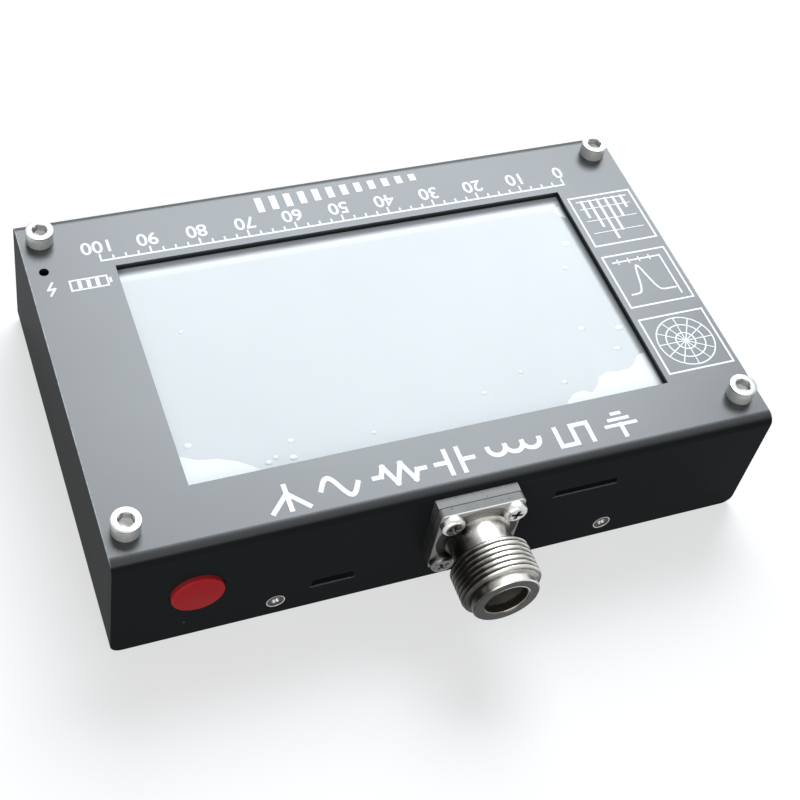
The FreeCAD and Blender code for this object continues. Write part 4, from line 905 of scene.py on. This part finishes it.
def print_strokes(name):
    """Turns the strokes so far into one thin printed piece."""
    mesh = bmesh.new()
    for level, corners in enumerate(strokes):
        top = FACE + INK + (level % LEVELS) * LEVEL_STEP
        low = [mesh.verts.new((x * MM, y * MM, FACE)) for x, y in corners]
        high = [mesh.verts.new((x * MM, y * MM, top)) for x, y in corners]
        mesh.faces.new(high)
        mesh.faces.new(low[::-1])
        for i in range(4):
            j = (i + 1) % 4
            mesh.faces.new((low[i], low[j], high[j], high[i]))
    data = bpy.data.meshes.new(name)
    mesh.to_mesh(data)
    mesh.free()
    strokes.clear()
    thing = bpy.data.objects.new(name, data)
    bpy.context.collection.objects.link(thing)
    return done(thing, name, ink, smooth=0)


CAPITAL_SHARE = 0.7


def printed_number(text, x, y, tall):
    """A number, centred on a place in millimetres."""
    clear_selection()
    bpy.ops.object.text_add(location=(x * MM, y * MM, FACE))
    letters = bpy.context.object
    letters.data.body = text
    letters.data.align_x, letters.data.align_y = "CENTER", "CENTER"
    letters.data.size = tall * MM / CAPITAL_SHARE
    letters.data.extrude = INK
    letters.data.offset = 0.02 * tall * MM
    bpy.ops.object.convert(target="MESH")
    bpy.ops.object.transform_apply(location=True, rotation=True, scale=True)
    return bpy.context.object


# %% [markdown]
# The scale runs along the far side from 0 to 100, with a number at each tenth and a row of rising bars
# behind it.

# %% Ruled scale on the far side
LINE = 0.45
SCALE_X, SCALE_Y = -52, -28.2
MARKS, MARK_STEP, MARKS_PER_NUMBER = 40, 2.6, 4
NUMBER_Y, NUMBER_TALL = -32.2, 3.2
BARS_X, BARS_Y, BAR_STEP, BAR_WIDE = -19, -37.8, 3.2, 1.5
for mark in range(MARKS + 1):
    x = SCALE_X + mark * MARK_STEP
    tall = 1.7 if mark % MARKS_PER_NUMBER == 0 else 1.0
    stroke([(x, SCALE_Y), (x, SCALE_Y - tall)], 0.38)
stroke([(SCALE_X, SCALE_Y), (SCALE_X + MARKS * MARK_STEP, SCALE_Y)], LINE)
scale_numbers = []
for tenth in range(MARKS // MARKS_PER_NUMBER + 1):
    x = SCALE_X + tenth * MARK_STEP * MARKS_PER_NUMBER
    scale_numbers.append(printed_number(str(tenth * 10), x, NUMBER_Y, NUMBER_TALL))
for bar in range(12):
    x, tall = BARS_X + bar * BAR_STEP, 0.5 + bar * 0.2
    stroke([(x, BARS_Y), (x, BARS_Y + tall)], BAR_WIDE)
print_strokes("print_scale")
done(merged(scale_numbers), "print_scale_numbers", ink, smooth=0)

# %% [markdown]
# Seven plain circuit symbols stand along the near side: an antenna, a wave, a resistor, a capacitor, a
# coil, a square wave and a ground sign. They stand upright for someone who reads the face.

# %% Circuit symbols on the near side
BOLD = 0.95
MIDDLE = 35.6
HALF = 2.6
stroke([(33, MIDDLE - HALF), (33, MIDDLE + HALF)], BOLD)
stroke([(29.6, MIDDLE + HALF), (33, MIDDLE - 0.9), (36.4, MIDDLE + HALF)], BOLD)
WAVE_STEPS = 36
wave = [(19.4 + i * 0.2, MIDDLE + HALF * 0.85 * math.sin(i / WAVE_STEPS * 2 * math.pi))
        for i in range(WAVE_STEPS + 1)]
stroke(wave, BOLD)
SWING = 2.1
zigzag = [(6.1, 0), (7.6, 0), (8.5, SWING), (10.3, -SWING), (12.1, SWING), (13.9, -SWING), (14.8, 0), (16.2, 0)]
stroke([(x, MIDDLE + y) for x, y in zigzag], BOLD)
for x in (-1.3, 1.3):
    stroke([(x, MIDDLE - HALF), (x, MIDDLE + HALF)], BOLD)
    stroke([(x, MIDDLE), (x * 2.9, MIDDLE)], BOLD)
BUMP_R = 1.8
for bump in range(3):
    arc(-9.0 - bump * 2 * BUMP_R, MIDDLE - 1.0, BUMP_R, 0, 180, BOLD, 20)
square_wave = [(-21.8, -SWING), (-21.8, SWING), (-25.2, SWING), (-25.2, -SWING), (-28.6, -SWING), (-28.6, SWING)]
stroke([(x, MIDDLE + y) for x, y in square_wave], BOLD)
GROUND_X = -35.4
stroke([(GROUND_X, MIDDLE + HALF), (GROUND_X, MIDDLE)], BOLD)
for step, half in enumerate((3.2, 2.0, 0.8)):
    y = MIDDLE - step * 1.35
    stroke([(GROUND_X - half, y), (GROUND_X + half, y)], 0.75)
print_strokes("print_symbols")

# %% [markdown]
# The charge sign is a small battery with three cells and a spark beside it.

# %% Charge sign by the lamp hole
stroke([(52.0, -24.2), (59.4, -24.2), (59.4, -21.6), (52.0, -21.6)], 0.4, closed=True)
stroke([(51.4, -23.3), (51.4, -22.5)], 0.5)
for x in (54.0, 55.8, 57.6):
    stroke([(x, -23.5), (x, -22.3)], 0.8)
stroke([(63.6, -21.3), (62.5, -22.9), (63.9, -22.8), (62.8, -24.5)], 0.45)
print_strokes("print_charge")

# %% [markdown]
# Three charts stand in equal frames: hanging bars over level lines, a curve with one deep dip between two
# axes, and a round chart of rings and spokes. One function draws each inside its own frame.


# %% Framed charts
THIN = 0.3
WIDE, TALL = 14.9, 14.5
FRAMES = [(-65.85, -23.7), (-65.85, -5.9), (-65.85, 12.1)]
MARGIN = 1.4


def bar_chart(x, y):
    left, right = x + MARGIN, x + WIDE - MARGIN
    for quarter in range(1, 4):
        level = y + quarter * TALL / 4
        stroke([(left, level), (right, level)], THIN * 0.7)
    for step, tall in enumerate((3.2, 5.6, 9.4, 11.6, 7.8, 4.6)):
        place = x + 2.6 + step * 1.95
        stroke([(place, y + MARGIN), (place, y + MARGIN + tall)], 0.62)
    stroke([(left, y + MARGIN), (right, y + MARGIN)], THIN)


def dip_chart(x, y):
    low = 2.0
    stroke([(x + low, y + TALL - 1.6), (x + low, y + low), (x + WIDE - 1.6, y + low)], THIN * 1.3)
    dip = []
    for share in [step / 30 for step in range(31)]:
        depth = 7.6 * math.exp(-((share - 0.56) / 0.13) ** 2)
        dip.append((x + 2.6 + share * 10.4, y + 11.2 - depth))
    stroke(dip, 0.42)
    for step in range(1, 5):
        place = x + low + step * 2.5
        stroke([(place, y + low - 0.6), (place, y + low + 0.6)], THIN)


def round_chart(x, y):
    rings = (2.1, 4.2, 6.2)
    middle_x, middle_y = x + WIDE / 2, y + TALL / 2
    for r in rings:
        arc(middle_x, middle_y, r, 0, 360, THIN, 48)
    for step in range(6):
        turn = math.radians(step * 30)
        across, up = rings[-1] * math.cos(turn), rings[-1] * math.sin(turn)
        stroke([(middle_x - across, middle_y - up), (middle_x + across, middle_y + up)], THIN * 0.8)


for x, y in FRAMES:
    stroke([(x, y), (x + WIDE, y), (x + WIDE, y + TALL), (x, y + TALL)], 0.42, closed=True)
for chart, (x, y) in zip((bar_chart, dip_chart, round_chart), FRAMES):
    chart(x, y)
print_strokes("print_charts")

# %% [markdown]
# ## Studio
# A wide soft lamp stands behind the object, where the flat face mirrors it to the camera: that turns the
# satin black face grey and leaves the near wall dark. A second, weaker lamp lights the near side, and the
# world fills in. The floor is plain and pale. Floor and world look whiter to the camera and in mirrors than
# they shine on the object, so the picture's ground is white and the object isn't lit too much by it.

# %% Floor
FLOOR_WIDE = 3.0
FLOOR_GREY, FLOOR_GLOW = 0.38, 0.6
WHITE_FOR = ("Is Camera Ray", "Is Glossy Ray", "Is Transmission Ray")
clear_selection()
bpy.ops.mesh.primitive_plane_add(size=FLOOR_WIDE, location=(0, 0, -0.02 * MM))
floor = bpy.context.object
floor.name = "studio_floor"
floor_finish = Finish("studio_floor", (FLOOR_GREY,) * 3, 0.9,
                      **{"Specular IOR Level": 0.0, "Emission Strength": 1.0})
seen = 0
for kind in WHITE_FOR:
    seen = floor_finish.add("ShaderNodeLightPath", output=kind) + seen
floor_finish.set(**{"Emission Color": floor_finish.blend(seen, (0.0,) * 3, (FLOOR_GLOW,) * 3)})
floor.data.materials.append(floor_finish.material)
print("floor", FLOOR_WIDE, "m wide")

# %% Lamps
KEY_PLACE = Vector((-0.255, -0.5175, 0.70))
KEY_SIZE = (0.66, 0.54)
KEY_POWER = 11.0
KEY_COLOR = (0.88, 0.95, 1.0)
FILL_PLACE = Vector((0.25, 0.75, 0.42))
FILL_SIZE = (0.9, 0.6)
FILL_POWER = 3.5
FILL_COLOR = (1.0, 1.0, 0.98)


def soft_lamp(name, place, size, power, color):
    """A rectangular lamp that faces the object."""
    lamp = bpy.data.lights.new(name, "AREA")
    lamp.shape, lamp.size, lamp.size_y, lamp.energy = "RECTANGLE", *size, power
    lamp.color = color
    thing = bpy.data.objects.new(name, lamp)
    thing.location = place
    thing.rotation_mode = "QUATERNION"
    thing.rotation_quaternion = (Vector((0, 0, FACE)) - place).to_track_quat("-Z", "Y")
    bpy.context.collection.objects.link(thing)


soft_lamp("key", KEY_PLACE, KEY_SIZE, KEY_POWER, KEY_COLOR)
soft_lamp("fill", FILL_PLACE, FILL_SIZE, FILL_POWER, FILL_COLOR)
print("lamps", KEY_POWER, "W and", FILL_POWER, "W")

# %% World
FILL_TINT, FILL_STRENGTH = (0.86, 0.93, 1.0, 1), 0.24
world = bpy.data.worlds.new("studio")
bpy.context.scene.world = world
world.use_nodes = True
tree = world.node_tree
tree.nodes.clear()
path = tree.nodes.new("ShaderNodeLightPath")
fill = tree.nodes.new("ShaderNodeBackground")
white = tree.nodes.new("ShaderNodeBackground")
for background, tint, strength in ((fill, FILL_TINT, FILL_STRENGTH), (white, (1.0, 1.0, 1.0, 1), 1.0)):
    background.inputs["Color"].default_value = tint
    background.inputs["Strength"].default_value = strength
mask = path.outputs[WHITE_FOR[0]]
for kind in WHITE_FOR[1:]:
    either = tree.nodes.new("ShaderNodeMath")
    either.operation = "MAXIMUM"
    tree.links.new(mask, either.inputs[0])
    tree.links.new(path.outputs[kind], either.inputs[1])
    mask = either.outputs[0]
mix = tree.nodes.new("ShaderNodeMixShader")
tree.links.new(mask, mix.inputs[0])
tree.links.new(fill.outputs[0], mix.inputs[1])
tree.links.new(white.outputs[0], mix.inputs[2])
world_output = tree.nodes.new("ShaderNodeOutputWorld")
tree.links.new(mix.outputs[0], world_output.inputs["Surface"])
bpy.context.scene.view_settings.view_transform = "Standard"
print("world nodes", len(tree.nodes))

# %% [markdown]
# ## Camera
# The camera stands where the photographer stood: above the near side, turned so that the face reads
# upside down. Its place and turn come from a fit of the case's corners.

# %% Camera
CAMERA_PLACE = Vector((102.88, 180.93, 265.46)) * MM
RIGHT = Vector((-0.93326, 0.33392, 0.13234))
DOWN = Vector((0.17432, 0.74321, -0.64596))
FORWARD = Vector((-0.31406, -0.57978, -0.75182))
FOCAL_PIXELS, FRAME_PIXELS = 1565.03, 800

view = bpy.data.cameras.new("camera")
view.sensor_width = 36
view.lens = FOCAL_PIXELS * view.sensor_width / FRAME_PIXELS
view.shift_x, view.shift_y = 0.04, -0.10
view.clip_start, view.clip_end = 0.01, 20
camera = bpy.data.objects.new("camera", view)
turn = Matrix((RIGHT, -DOWN, -FORWARD)).transposed()
camera.matrix_world = Matrix.Translation(CAMERA_PLACE) @ turn.to_4x4()
bpy.context.collection.objects.link(camera)
bpy.context.scene.camera = camera
print("camera lens", round(view.lens, 1), "mm")
